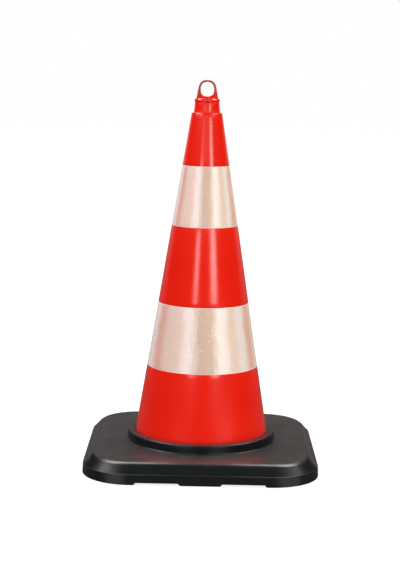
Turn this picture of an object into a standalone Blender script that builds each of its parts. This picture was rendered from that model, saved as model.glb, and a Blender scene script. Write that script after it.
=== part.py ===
"""A two-band traffic cone that stands in a heavy rubber base, 0.9 m tall.

The cone is a hollow plastic shell with a flange round its foot and an open neck. A plug with a carrying
eye snaps into the neck and can turn in it. Two sleeves of reflective sheeting lie in shallow recesses of
the shell. The base is one rubber moulding that is dropped over the cone and sits on the cone's flange.

Metres, +Z up. The origin is on the ground, on the axis of the cone.
"""

import math

import bmesh
import bpy
from mathutils import Matrix

# Whole object
HEIGHT = 0.900  # ground to the top of the eye
FIT_GAP = 0.0003  # clearance between pieces that touch

# Cone shell
CONE_FOOT_RADIUS = 0.168  # outer radius of the tapered wall, carried down to the ground
SHOULDER_STEP = 0.0045  # width of the ledge between the neck's foot and the tapered wall
SHOULDER_ROUNDING = 0.0018
CONE_WALL = 0.003
FLANGE_WIDTH = 0.0365  # reach of the foot flange past the wall
FLANGE_THICKNESS = 0.004
FLANGE_FILLET = 0.004
NECK_HEIGHT = 0.0238
NECK_TOP_RADIUS = 0.0286
NECK_FLARE = 0.0025  # how much wider the neck is at its foot
NECK_WALL = 0.0031  # at its top

# Reflective sleeves
LOWER_BAND_FOOT = 0.225  # its lower edge above the ground
LOWER_BAND_HEIGHT = 0.1525
UPPER_BAND_DROP = 0.122  # its upper edge below the shoulder
UPPER_BAND_HEIGHT = 0.1415
BAND_RECESS = 0.0006  # depth of the seat in the cone's wall
BAND_THICKNESS = 0.0006
SEAM_OVERLAP = 0.018  # width over which the sheet's two ends lie on each other, at the back
SEAM_RISE = 0.0004

# Eye cap
RIM_HEIGHT = 0.0094
RIM_OVERHANG = 0.0013  # reach of the rim's widest line past the neck
RIM_WIDEST = 0.0049  # that line above the rim's under side
RIM_CROWN = 0.003  # width of the rounded top edge
EYE_WEB = 0.0049  # from the rim's top to the hole
EYE_STRAP = 0.0045  # material above the hole
EYE_HOLE_WIDTH = 0.0314
EYE_HOLE_HEIGHT = 0.0336
EYE_RADIUS = 0.021  # outer radius of the loop's round top
EYE_FLARE = math.radians(11.0)  # lean of the loop's straight sides
EYE_THICKNESS = 0.010
EYE_EDGE = 0.0014
PLUG_WALL = 0.003
BARB_REACH = 0.0016  # reach of the barbs past the neck's bore
BARB_HEIGHT = 0.008
SLOT_WIDTH = 0.004
SLOT_RISE = 0.012  # top of the slots above the shoulder

# Rubber base
BASE_SIDE = 0.546
BASE_CORNER_RADIUS = 0.115
BASE_EDGE = 0.0015
LIP_HEIGHT = 0.024
LIP_LEDGE = 0.002  # step at the top of the lip
SKIRT_TOP_INSET = 0.017
SKIRT_TOP_HEIGHT = 0.040
PLATE_HEIGHT = 0.047
PLATE_INSET = 0.036
COLLAR_HEIGHT = 0.020  # above the plate
COLLAR_WIDTH = 0.0194
COLLAR_EDGE = 0.0012
COLLAR_FILLET = 0.0025
BORE_LEAD = 0.006  # chamfer at the foot of the bore, clear of the cone's fillet
SKIRT_WALL = 0.014
PLATE_THICKNESS = 0.012
SEAT_RING_REACH = 0.0025  # how far the ring under the plate reaches past the flange
RIB_THICKNESS = 0.008
RIB_PITCH = 0.088  # largest distance from rib to rib
FOOT_HEIGHT = 0.005
CENTRE_FOOT_WIDTH = 0.090
NOTCH_WIDTH = 0.105

# Facets and cutters
FULL_TURN = 2.0 * math.pi
ROUND_SIDES = 72  # round the cone and everything on its axis
FILLET_STEPS = 4  # along a small fillet or rounded edge
SKIRT_STEPS = 5  # along the broad rounding of the base
CORNER_STEPS = 8  # round one corner of the base
LOOP_STEPS = 20  # over the top of the eye
HOLE_SIDES = 32
SHARP_ANGLE = math.radians(30.0)  # an edge that turns more than this is shaded sharp
MERGE_DISTANCE = 1e-6
OVERSHOOT = 0.01  # how far a cutter runs past the face that it cuts

# Sizes that follow from the ones above
RIM_TOP = HEIGHT - EYE_STRAP - EYE_HOLE_HEIGHT - EYE_WEB
RIM_FOOT = RIM_TOP - RIM_HEIGHT
NECK_TOP = RIM_FOOT - FIT_GAP
SHOULDER_HEIGHT = NECK_TOP - NECK_HEIGHT
NECK_FOOT_RADIUS = NECK_TOP_RADIUS + NECK_FLARE
NECK_BORE_RADIUS = NECK_TOP_RADIUS - NECK_WALL
SHOULDER_RADIUS = NECK_FOOT_RADIUS + SHOULDER_STEP
CONE_TAPER = (CONE_FOOT_RADIUS - SHOULDER_RADIUS) / SHOULDER_HEIGHT
FLANGE_RADIUS = CONE_FOOT_RADIUS + FLANGE_WIDTH
UPPER_BAND_FOOT = SHOULDER_HEIGHT - UPPER_BAND_DROP - UPPER_BAND_HEIGHT
COLLAR_TOP = PLATE_HEIGHT + COLLAR_HEIGHT
SEAT_HEIGHT = FLANGE_THICKNESS + FIT_GAP
POCKET_CEILING = PLATE_HEIGHT - PLATE_THICKNESS
SKIRT_SLOPE = (SKIRT_TOP_INSET - LIP_LEDGE) / (SKIRT_TOP_HEIGHT - LIP_HEIGHT)  # inwards for each metre up


def cone_radius(height):
    """Outer radius of the cone's tapered wall at a height above the ground."""
    return CONE_FOOT_RADIUS - CONE_TAPER * height


COLLAR_RADIUS = cone_radius(COLLAR_TOP) + FIT_GAP + COLLAR_WIDTH


def clear_scene():
    """Takes every object out of the open file."""
    for old in list(bpy.data.objects):
        bpy.data.objects.remove(old, do_unlink=True)


def plain_material(name, colour, roughness):
    """A Principled material of one colour."""
    material = bpy.data.materials.new(name)
    material.use_nodes = True
    shader = material.node_tree.nodes["Principled BSDF"]
    shader.inputs["Base Color"].default_value = (*colour, 1.0)
    shader.inputs["Roughness"].default_value = roughness
    shader.inputs["Metallic"].default_value = 0.0
    return material


def new_object(name, shape, material=None, height=0.0, parent=None):
    """Turns a bmesh into an object on the axis, at a height above the ground."""
    mesh = bpy.data.meshes.new(name)
    bmesh.ops.recalc_face_normals(shape, faces=shape.faces)
    shape.to_mesh(mesh)
    shape.free()
    mesh.shade_smooth()
    mesh.set_sharp_from_angle(angle=SHARP_ANGLE)
    made = bpy.data.objects.new(name, mesh)
    made.location = (0.0, 0.0, height)
    if material is not None:
        mesh.materials.append(material)
    if parent is not None:
        made.parent = parent
        made.location = (0.0, 0.0, height - parent.location.z)
    bpy.context.scene.collection.objects.link(made)
    return made


def helper(name, shape, height=0.0):
    """An object that only shapes another one."""
    made = new_object(name, shape, height=height)
    made.hide_render = True
    made.display_type = "WIRE"
    return made


def combine(target, operation, other):
    """Adds a Boolean that joins another object to this one or cuts it away."""
    step = target.modifiers.new(other.name, "BOOLEAN")
    step.operation = operation
    step.object = other
    step.solver = "EXACT"


def turned(profile):
    """A body of revolution from (radius, height) points, closed in a ring or ending on the axis."""
    shape = bmesh.new()
    corners = [shape.verts.new((radius, 0.0, height)) for radius, height in profile]
    edges = [shape.edges.new(pair) for pair in zip(corners, corners[1:])]
    on_axis = profile[0][0] == 0.0 and profile[-1][0] == 0.0
    if not on_axis:
        edges.append(shape.edges.new((corners[-1], corners[0])))
    bmesh.ops.spin(
        shape,
        geom=corners + edges,
        cent=(0.0, 0.0, 0.0),
        axis=(0.0, 0.0, 1.0),
        angle=FULL_TURN,
        steps=ROUND_SIDES,
        use_merge=True,
    )
    bmesh.ops.remove_doubles(shape, verts=shape.verts, dist=MERGE_DISTANCE)
    return shape


def lofted(sections):
    """A closed body through outlines of equally many points, capped at both ends."""
    shape = bmesh.new()
    rings = [[shape.verts.new(point) for point in section] for section in sections]
    for low, high in zip(rings, rings[1:]):
        for i in range(len(low)):
            j = (i + 1) % len(low)
            shape.faces.new((low[i], low[j], high[j], high[i]))
    shape.faces.new(reversed(rings[0]))
    shape.faces.new(rings[-1])
    return shape


def arc(centre, radius, start, end, steps):
    """Points on a circular arc, the angles in degrees."""
    angles = [math.radians(start + (end - start) * i / steps) for i in range(steps + 1)]
    return [(centre[0] + radius * math.cos(a), centre[1] + radius * math.sin(a)) for a in angles]


def rounded_square(inset, height):
    """The base's outline, drawn in from its edge, as points at one height."""
    radius = BASE_CORNER_RADIUS - inset
    centre = BASE_SIDE / 2.0 - BASE_CORNER_RADIUS
    outline = []
    for quarter, (side_x, side_y) in enumerate(((1, 1), (-1, 1), (-1, -1), (1, -1))):
        corner = (side_x * centre, side_y * centre)
        outline += arc(corner, radius, 90.0 * quarter, 90.0 * (quarter + 1), CORNER_STEPS)
    return [(x, y, height) for x, y in outline]


def slab(size, middle):
    """A box of this size round this middle point."""
    shape = bmesh.new()
    bmesh.ops.create_cube(shape, size=1.0)
    bmesh.ops.scale(shape, vec=size, verts=shape.verts)
    bmesh.ops.translate(shape, vec=middle, verts=shape.verts)
    return shape


def band_seat(foot, tall):
    """The outline of one recess in the cone's wall, from its foot up."""
    top = foot + tall
    return [
        (cone_radius(foot), foot),
        (cone_radius(foot) - BAND_RECESS, foot),
        (cone_radius(top) - BAND_RECESS, top),
        (cone_radius(top), top),
    ]


def cone_body(material):
    """The hollow shell: foot flange, tapered wall with two recesses, shoulder and open neck."""
    wall_at_fillet = cone_radius(FLANGE_THICKNESS + FLANGE_FILLET)
    fillet_centre = (wall_at_fillet + FLANGE_FILLET, FLANGE_THICKNESS + FLANGE_FILLET)
    shoulder_centre = (SHOULDER_RADIUS - SHOULDER_ROUNDING, SHOULDER_HEIGHT - SHOULDER_ROUNDING)
    ceiling = SHOULDER_HEIGHT - CONE_WALL
    profile = [(FLANGE_RADIUS, 0.0), (FLANGE_RADIUS, FLANGE_THICKNESS)]
    profile += arc(fillet_centre, FLANGE_FILLET, 270.0, 180.0, FILLET_STEPS)
    profile += band_seat(LOWER_BAND_FOOT, LOWER_BAND_HEIGHT)
    profile += band_seat(UPPER_BAND_FOOT, UPPER_BAND_HEIGHT)
    profile += arc(shoulder_centre, SHOULDER_ROUNDING, 0.0, 90.0, FILLET_STEPS)
    profile += [
        (NECK_FOOT_RADIUS, SHOULDER_HEIGHT),
        (NECK_TOP_RADIUS, NECK_TOP),
        (NECK_BORE_RADIUS, NECK_TOP),
        (NECK_BORE_RADIUS, ceiling),
        (cone_radius(ceiling) - CONE_WALL, ceiling),
        (CONE_FOOT_RADIUS - CONE_WALL, 0.0),
    ]
    return new_object("cone_body", turned(profile), material)


def reflective_band(name, foot, tall, cone, material):
    """A sleeve of sheeting in its recess. Its ends overlap at the back, where it is a little thicker."""
    inner_foot = cone_radius(foot) - BAND_RECESS + FIT_GAP
    inner_top = cone_radius(foot + tall) - BAND_RECESS + FIT_GAP
    low = FIT_GAP
    high = tall - FIT_GAP
    profile = [
        (inner_foot + BAND_THICKNESS, low),
        (inner_top + BAND_THICKNESS, high),
        (inner_top, high),
        (inner_foot, low),
    ]
    shape = turned(profile)
    for corner in shape.verts:
        radius = math.hypot(corner.co.x, corner.co.y)
        off_seam = abs(math.atan2(corner.co.x, corner.co.y)) * radius
        inner = inner_foot if corner.co.z < tall / 2.0 else inner_top
        if off_seam <= SEAM_OVERLAP / 2.0 and radius > inner + BAND_THICKNESS / 2.0:
            corner.co.x *= 1.0 + SEAM_RISE / radius
            corner.co.y *= 1.0 + SEAM_RISE / radius
    return new_object(name, shape, material, height=foot, parent=cone)


def eye_loop():
    """The flat loop: a round top with sides that lean out to the rim, and an oval hole through it."""
    flare = math.degrees(EYE_FLARE)
    top = HEIGHT - RIM_FOOT
    centre = top - EYE_RADIUS
    outline = arc((0.0, centre), EYE_RADIUS, flare, 180.0 - flare, LOOP_STEPS)
    foot = RIM_HEIGHT - RIM_CROWN
    drop = outline[0][1] - foot
    reach = outline[0][0] + drop * math.tan(EYE_FLARE)
    outline = [(reach, foot)] + outline + [(-reach, foot)]
    half = EYE_THICKNESS / 2.0
    back = [(x, half, z) for x, z in outline]
    front = [(x, -half, z) for x, z in outline]
    return lofted([back, front])


def eye_hole():
    """The cutter of the oval hole."""
    middle = HEIGHT - RIM_FOOT - EYE_STRAP - EYE_HOLE_HEIGHT / 2.0
    wide = EYE_HOLE_WIDTH / 2.0
    tall = EYE_HOLE_HEIGHT / 2.0
    angles = [FULL_TURN * i / HOLE_SIDES for i in range(HOLE_SIDES)]
    oval = [(wide * math.cos(a), middle + tall * math.sin(a)) for a in angles]
    reach = EYE_THICKNESS / 2.0 + OVERSHOOT
    back = [(x, reach, z) for x, z in oval]
    front = [(x, -reach, z) for x, z in oval]
    return lofted([back, front])


def plug_body():
    """The rim that covers the neck's edge, and the hollow plug below it with a barb at its foot."""
    rim_foot_radius = NECK_TOP_RADIUS
    rim_radius = NECK_TOP_RADIUS + RIM_OVERHANG
    plug_radius = NECK_BORE_RADIUS - FIT_GAP
    barb_top = SHOULDER_HEIGHT - CONE_WALL - FIT_GAP - RIM_FOOT
    barb_radius = NECK_BORE_RADIUS + BARB_REACH
    plug_foot = barb_top - BARB_HEIGHT
    quarter = arc((0.0, 0.0), 1.0, 90.0, 0.0, FILLET_STEPS)
    profile = [(0.0, RIM_HEIGHT)]
    profile += [
        (rim_radius - RIM_CROWN * (1.0 - x), RIM_WIDEST + (RIM_HEIGHT - RIM_WIDEST) * z) for x, z in quarter
    ]
    profile += [
        (rim_foot_radius, 0.0),
        (plug_radius, 0.0),
        (plug_radius, barb_top),
        (barb_radius, barb_top),
        (barb_radius, barb_top - BARB_REACH),
        (plug_radius - BARB_REACH, plug_foot),
        (plug_radius - PLUG_WALL, plug_foot),
        (plug_radius - PLUG_WALL, RIM_HEIGHT - PLUG_WALL),
        (0.0, RIM_HEIGHT - PLUG_WALL),
    ]
    return turned(profile)


def eye_cap(material):
    """The plug with its rim and loop. Four slots let the barbs spring in through the neck."""
    cap = new_object("eye_cap", plug_body(), material, height=RIM_FOOT)
    loop = helper("eye_loop_guide", eye_loop(), height=RIM_FOOT)
    combine(loop, "DIFFERENCE", helper("eye_hole_cutter", eye_hole(), height=RIM_FOOT))
    rounding = loop.modifiers.new("rounded edges", "BEVEL")
    rounding.width = EYE_EDGE
    rounding.segments = 2
    rounding.limit_method = "ANGLE"
    rounding.angle_limit = SHARP_ANGLE
    combine(cap, "UNION", loop)
    slot_top = SHOULDER_HEIGHT + SLOT_RISE - RIM_FOOT
    slot_foot = SHOULDER_HEIGHT - CONE_WALL - BARB_HEIGHT - OVERSHOOT - RIM_FOOT
    length = 2.0 * NECK_FOOT_RADIUS
    tall = slot_top - slot_foot
    middle = (0.0, 0.0, (slot_top + slot_foot) / 2.0)
    across = helper("slot_cutter_x", slab((length, SLOT_WIDTH, tall), middle), height=RIM_FOOT)
    along = helper("slot_cutter_y", slab((SLOT_WIDTH, length, tall), middle), height=RIM_FOOT)
    combine(cap, "DIFFERENCE", across)
    combine(cap, "DIFFERENCE", along)
    return cap


def base_block():
    """The outside of the base: vertical lip, sloping skirt and a broad rounding into the flat plate."""
    knee = SKIRT_TOP_INSET + SKIRT_SLOPE * (PLATE_HEIGHT - SKIRT_TOP_HEIGHT)
    sections = [(BASE_EDGE, 0.0), (0.0, BASE_EDGE), (0.0, LIP_HEIGHT), (LIP_LEDGE, LIP_HEIGHT)]
    for i in range(SKIRT_STEPS + 1):
        t = i / SKIRT_STEPS
        inset = SKIRT_TOP_INSET * (1.0 - t) ** 2 + 2.0 * knee * t * (1.0 - t) + PLATE_INSET * t**2
        height = PLATE_HEIGHT - (PLATE_HEIGHT - SKIRT_TOP_HEIGHT) * (1.0 - t) ** 2
        sections.append((inset, height))
    return lofted([rounded_square(inset, height) for inset, height in sections])


def collar():
    """The raised ring round the bore, with a fillet at its foot and a rounded upper edge."""
    edge_centre = (COLLAR_RADIUS - COLLAR_EDGE, COLLAR_TOP - COLLAR_EDGE)
    fillet_centre = (COLLAR_RADIUS + COLLAR_FILLET, PLATE_HEIGHT + COLLAR_FILLET)
    buried = PLATE_HEIGHT - PLATE_THICKNESS / 2.0
    profile = [(0.0, COLLAR_TOP)]
    profile += arc(edge_centre, COLLAR_EDGE, 90.0, 0.0, FILLET_STEPS)
    profile += arc(fillet_centre, COLLAR_FILLET, 180.0, 270.0, FILLET_STEPS)
    profile += [(COLLAR_RADIUS + COLLAR_FILLET, buried), (0.0, buried)]
    return turned(profile)


def bore():
    """The cutter of the tapered bore that fits the cone, with a lead-in and the seat for the flange."""
    above = COLLAR_TOP + OVERSHOOT
    lead_top = SEAT_HEIGHT + BORE_LEAD
    seat_reach = FLANGE_RADIUS + SEAT_RING_REACH + OVERSHOOT
    profile = [
        (0.0, above),
        (cone_radius(above) + FIT_GAP, above),
        (cone_radius(lead_top) + FIT_GAP, lead_top),
        (cone_radius(SEAT_HEIGHT) + FIT_GAP + BORE_LEAD, SEAT_HEIGHT),
        (seat_reach, SEAT_HEIGHT),
        (seat_reach, -OVERSHOOT),
        (0.0, -OVERSHOOT),
    ]
    return turned(profile)


def pocket_space():
    """The hollow under the plate, inside the skirt wall."""
    bend = LIP_HEIGHT - PLATE_THICKNESS
    sections = [
        (SKIRT_WALL, -OVERSHOOT),
        (SKIRT_WALL, bend),
        (SKIRT_WALL + SKIRT_SLOPE * (POCKET_CEILING - bend), POCKET_CEILING),
    ]
    return lofted([rounded_square(inset, height) for inset, height in sections])


def seat_ring():
    """The solid ring that stays under the plate, above the cone's flange."""
    radius = FLANGE_RADIUS + SEAT_RING_REACH
    below = -2.0 * OVERSHOOT
    return turned([(0.0, PLATE_HEIGHT), (radius, PLATE_HEIGHT), (radius, below), (0.0, below)])


def notch(offset, quarter):
    """The cutter of one low arch under an edge, with 45 degree ends, turned to its side of the base."""
    half = NOTCH_WIDTH / 2.0
    outline = [
        (offset - half - OVERSHOOT, -OVERSHOOT),
        (offset + half + OVERSHOOT, -OVERSHOOT),
        (offset + half - FOOT_HEIGHT, FOOT_HEIGHT),
        (offset - half + FOOT_HEIGHT, FOOT_HEIGHT),
    ]
    inside = BASE_SIDE / 2.0 - SKIRT_WALL - OVERSHOOT
    outside = BASE_SIDE / 2.0 + OVERSHOOT
    near = [(x, -inside, z) for x, z in outline]
    far = [(x, -outside, z) for x, z in outline]
    shape = lofted([near, far])
    turn = Matrix.Rotation(FULL_TURN / 4.0 * quarter, 3, "Z")
    bmesh.ops.rotate(shape, verts=shape.verts, cent=(0.0, 0.0, 0.0), matrix=turn)
    return shape


def rubber_base(material):
    """The whole moulding: plate, skirt, collar, bore, ribbed pockets below and a notched foot."""
    base = new_object("base", base_block(), material)
    combine(base, "UNION", helper("collar_guide", collar()))
    pockets = helper("pocket_cutter", pocket_space())
    combine(pockets, "DIFFERENCE", helper("seat_ring_guide", seat_ring()))
    inner_width = BASE_SIDE - 2.0 * SKIRT_WALL
    spaces = math.ceil(inner_width / RIB_PITCH)
    for i in range(1, spaces):
        place = -inner_width / 2.0 + inner_width * i / spaces
        tall = PLATE_HEIGHT - FOOT_HEIGHT
        middle = FOOT_HEIGHT + tall / 2.0
        across = slab((RIB_THICKNESS, BASE_SIDE, tall), (place, 0.0, middle))
        along = slab((BASE_SIDE, RIB_THICKNESS, tall), (0.0, place, middle))
        combine(pockets, "DIFFERENCE", helper(f"rib_guide_x{i}", across))
        combine(pockets, "DIFFERENCE", helper(f"rib_guide_y{i}", along))
    combine(base, "DIFFERENCE", pockets)
    combine(base, "DIFFERENCE", helper("bore_cutter", bore()))
    offset = (CENTRE_FOOT_WIDTH + NOTCH_WIDTH) / 2.0
    for quarter in range(4):
        for side in (-1, 1):
            cutter = helper(f"notch_cutter_{quarter}{side:+d}", notch(side * offset, quarter))
            combine(base, "DIFFERENCE", cutter)
    return base


def main():
    """Builds the cone, its two sleeves, the eye cap and the base."""
    clear_scene()
    red_plastic = plain_material("red_plastic", (0.80, 0.02, 0.008), 0.35)
    sheeting = plain_material("reflective_sheeting", (0.78, 0.72, 0.68), 0.40)
    black_rubber = plain_material("black_rubber", (0.03, 0.028, 0.027), 0.60)
    cone = cone_body(red_plastic)
    reflective_band("lower_reflective_band", LOWER_BAND_FOOT, LOWER_BAND_HEIGHT, cone, sheeting)
    reflective_band("upper_reflective_band", UPPER_BAND_FOOT, UPPER_BAND_HEIGHT, cone, sheeting)
    eye_cap(red_plastic)
    rubber_base(black_rubber)


main()
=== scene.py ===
"""Looks of a 900 mm road cone: moulded red shell, two reflective sleeves, carrying eye and rubber base.

Every surface is worked out as arrays of points on a grid and dressed with its own procedural finish.
Metres, +Z up, origin on the ground under the cone's axis.
"""

import logging
import math
from dataclasses import dataclass
from enum import Enum

import bpy
import numpy as np
from mathutils import Matrix, Vector


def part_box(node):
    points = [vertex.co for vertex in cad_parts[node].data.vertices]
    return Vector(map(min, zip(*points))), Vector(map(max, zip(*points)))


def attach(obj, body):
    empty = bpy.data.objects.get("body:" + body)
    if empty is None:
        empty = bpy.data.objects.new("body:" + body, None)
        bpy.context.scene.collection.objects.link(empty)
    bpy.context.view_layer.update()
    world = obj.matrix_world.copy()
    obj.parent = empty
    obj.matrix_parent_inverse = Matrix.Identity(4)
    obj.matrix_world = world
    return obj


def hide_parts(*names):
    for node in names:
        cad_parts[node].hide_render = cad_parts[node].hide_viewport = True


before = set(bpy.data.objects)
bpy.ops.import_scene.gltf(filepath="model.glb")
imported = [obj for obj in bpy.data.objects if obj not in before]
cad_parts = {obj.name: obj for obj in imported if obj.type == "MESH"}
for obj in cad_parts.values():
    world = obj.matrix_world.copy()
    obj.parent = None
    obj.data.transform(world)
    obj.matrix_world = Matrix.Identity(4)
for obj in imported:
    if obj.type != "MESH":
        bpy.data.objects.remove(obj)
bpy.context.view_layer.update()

LOG = logging.getLogger("road_cone")
FULL_TURN = 2.0 * math.pi
# The share of its section that a strip or bar keeps at an end, where it closes.
CLOSED_END = 0.02

# The inputs and the output of a Mix node that hold its colours.
FIRST_COLOUR, SECOND_COLOUR, MIXED_COLOUR = 6, 7, 2

# What a shader input is fed with: a node's socket, or a plain number, vector or colour.
Socket = bpy.types.NodeSocket
Value = Socket | float | tuple[float, ...]
Colour = tuple[float, float, float, float]


class Body(Enum):
    """The moving bodies of the frame that pieces ride on."""

    CONE = "cone"
    BASE = "base"
    EYE = "eye"


class Slot(Enum):
    """The record's material slots."""

    PLASTIC = "red_plastic"
    SHEETING = "reflective_sheeting"
    RUBBER = "black_rubber"


# ---------------------------------------------------------------- outlines


def arc(centre: tuple[float, float], radius: float, start: float, end: float, steps: int) -> np.ndarray:
    """Points on a circle: centre plus radius times (cosine, sine) of evenly stepped angles, in degrees."""
    turn = np.radians(np.linspace(start, end, steps + 1))
    return np.stack([centre[0] + radius * np.cos(turn), centre[1] + radius * np.sin(turn)], axis=-1)


def rounded(corners: list[tuple[float, float, float]], closed: bool, steps: int = 4) -> np.ndarray:
    """An outline whose corners are swapped for arcs tangent to both of their sides.

    The arc's centre lies on the corner's bisector, radius / sin(half angle) away, and its points turn
    evenly from one tangent point to the other.

    Args:
        corners: (x, y, radius) of each corner; radius 0 keeps it sharp.
        closed: Whether the last corner joins the first.
        steps: How many chords each arc has.

    Returns:
        An array of (n, 2) points.
    """
    count = len(corners)
    places = np.array([corner[:2] for corner in corners])
    pieces = []
    for index, (x, y, radius) in enumerate(corners):
        here = np.array([x, y])
        if radius == 0.0 or (not closed and index in (0, count - 1)):
            pieces.append(here[None, :])
            continue
        back = places[index - 1] - here
        ahead = places[(index + 1) % count] - here
        back /= np.linalg.norm(back)
        ahead /= np.linalg.norm(ahead)
        half = 0.5 * math.acos(float(np.clip(back @ ahead, -1.0, 1.0)))
        bisector = (back + ahead) / np.linalg.norm(back + ahead)
        centre = here + bisector * radius / math.sin(half)
        first = here + back * radius / math.tan(half) - centre
        last = here + ahead * radius / math.tan(half) - centre
        swing = math.pi - 2.0 * half
        share = np.linspace(0.0, 1.0, steps + 1)[:, None]
        turned = np.sin((1.0 - share) * swing) * first + np.sin(share * swing) * last
        pieces.append(centre + turned / math.sin(swing))
    return np.concatenate(pieces)


def filled_in(outline: np.ndarray, closed: bool, longest: float) -> np.ndarray:
    """The same outline with evenly spaced points added, so that no chord is longer than a limit.

    Args:
        outline: (n, k) points.
        closed: Whether the last point joins the first.
        longest: The longest chord that is left.

    Returns:
        The denser outline.
    """
    ends = np.roll(outline, -1, axis=0) if closed else outline[1:]
    starts = outline if closed else outline[:-1]
    lengths = np.linalg.norm((ends - starts)[:, :2], axis=1)
    pieces = []
    for start, end, length in zip(starts, ends, lengths):
        parts = max(1, math.ceil(length / longest))
        share = np.linspace(0.0, 1.0, parts, endpoint=False)[:, None]
        pieces.append(start + (end - start) * share)
    if not closed:
        pieces.append(outline[-1:])
    return np.concatenate(pieces)


def smooth_step(low: float, high: float, values: np.ndarray) -> np.ndarray:
    """0 below low, 1 above high, and 3 t^2 - 2 t^3 between them."""
    share = np.clip((values - low) / (high - low), 0.0, 1.0)
    return share * share * (3.0 - 2.0 * share)


# ---------------------------------------------------------------- meshes


@dataclass
class Grid:
    """A surface as a grid of points, of shape (across, along, 3).

    Attributes:
        points: The points of the grid.
        loop_across: Whether the last column joins the first.
        loop_along: Whether the last row joins the first.
        sheet: Optional (across + 1, along + 1, 2) distances over the surface, in metres, for its UV map.
    """

    points: np.ndarray
    loop_across: bool = True
    loop_along: bool = True
    sheet: np.ndarray | None = None

    def faces(self) -> tuple[np.ndarray, np.ndarray]:
        """Corner numbers of every four-sided face, and the same corners as places in the sheet.

        Returns:
            (n, 4) vertex numbers and (n, 4) flat places in a grid one column and one row larger.
        """
        across, along = self.points.shape[:2]
        columns = np.arange(across if self.loop_across else across - 1)
        rows = np.arange(along if self.loop_along else along - 1)
        i, j = (part.ravel() for part in np.meshgrid(columns, rows, indexing="ij"))
        right = (i + 1) % across
        above = (j + 1) % along
        corners = np.stack([i * along + j, right * along + j, right * along + above, i * along + above], 1)
        wide = along + 1
        places = np.stack([i * wide + j, (i + 1) * wide + j, (i + 1) * wide + j + 1, i * wide + j + 1], 1)
        return corners, places


def mesh_object(name: str, grids: list[Grid]) -> bpy.types.Object:
    """Puts one or more grids into one smooth-shaded mesh object at the origin.

    Args:
        name: The piece's name.
        grids: The surfaces, each a shell of its own.

    Returns:
        The new object, linked to the scene.
    """
    places, quads, maps = [], [], []
    offset = 0
    for grid in grids:
        corners, flat = grid.faces()
        places.append(grid.points.reshape(-1, 3))
        quads.append(corners + offset)
        offset += len(places[-1])
        sheet = grid.sheet
        if sheet is None:
            across, along = grid.points.shape[:2]
            sheet = np.zeros((across + 1, along + 1, 2))
        maps.append(sheet.reshape(-1, 2)[flat])
    points = np.concatenate(places).astype(np.float32)
    faces = np.concatenate(quads).astype(np.int32)
    mesh = bpy.data.meshes.new(name)
    mesh.vertices.add(len(points))
    mesh.vertices.foreach_set("co", points.ravel())
    mesh.loops.add(faces.size)
    mesh.loops.foreach_set("vertex_index", faces.ravel())
    mesh.polygons.add(len(faces))
    mesh.polygons.foreach_set("loop_start", np.arange(0, faces.size, 4, dtype=np.int32))
    mesh.update(calc_edges=True)
    layer = mesh.uv_layers.new(name="sheet")
    layer.data.foreach_set("uv", np.concatenate(maps).astype(np.float32).ravel())
    mesh.validate()
    mesh.shade_smooth()
    mesh.set_sharp_from_angle(angle=math.radians(42.0))
    made = bpy.data.objects.new(name, mesh)
    bpy.context.scene.collection.objects.link(made)
    return made


def turned_grid(outline: np.ndarray, angles: np.ndarray, swell: np.ndarray | float = 0.0) -> Grid:
    """A body of revolution: radius times (cosine, sine) of each angle, with an optional change of radius.

    Args:
        outline: (n, 2) closed outline as (radius, height), outer side going up.
        angles: The angles of its columns, in radians, going round once.
        swell: (columns, n) metres added to the radius.

    Returns:
        The closed grid.
    """
    radius = outline[None, :, 0] + swell
    points = np.stack(
        [
            radius * np.cos(angles)[:, None],
            radius * np.sin(angles)[:, None],
            np.broadcast_to(outline[None, :, 1], (len(angles), len(outline))),
        ],
        axis=-1,
    )
    return Grid(points)


def dress(piece: bpy.types.Object, finish: bpy.types.Material, body: Body, slot: Slot) -> bpy.types.Object:
    """Gives a piece its finish and its body, and reports it.

    Args:
        piece: The finished object.
        finish: Its material.
        body: The body that it moves with.
        slot: The record's slot that it takes its finish from; not used.

    Returns:
        The same object.
    """
    piece.data.materials.clear()
    piece.data.materials.append(finish)
    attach(piece, body.value)
    LOG.info("%s: %d faces, rides on %s", piece.name, len(piece.data.polygons), body.value)
    return piece


# ---------------------------------------------------------------- finishes


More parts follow.
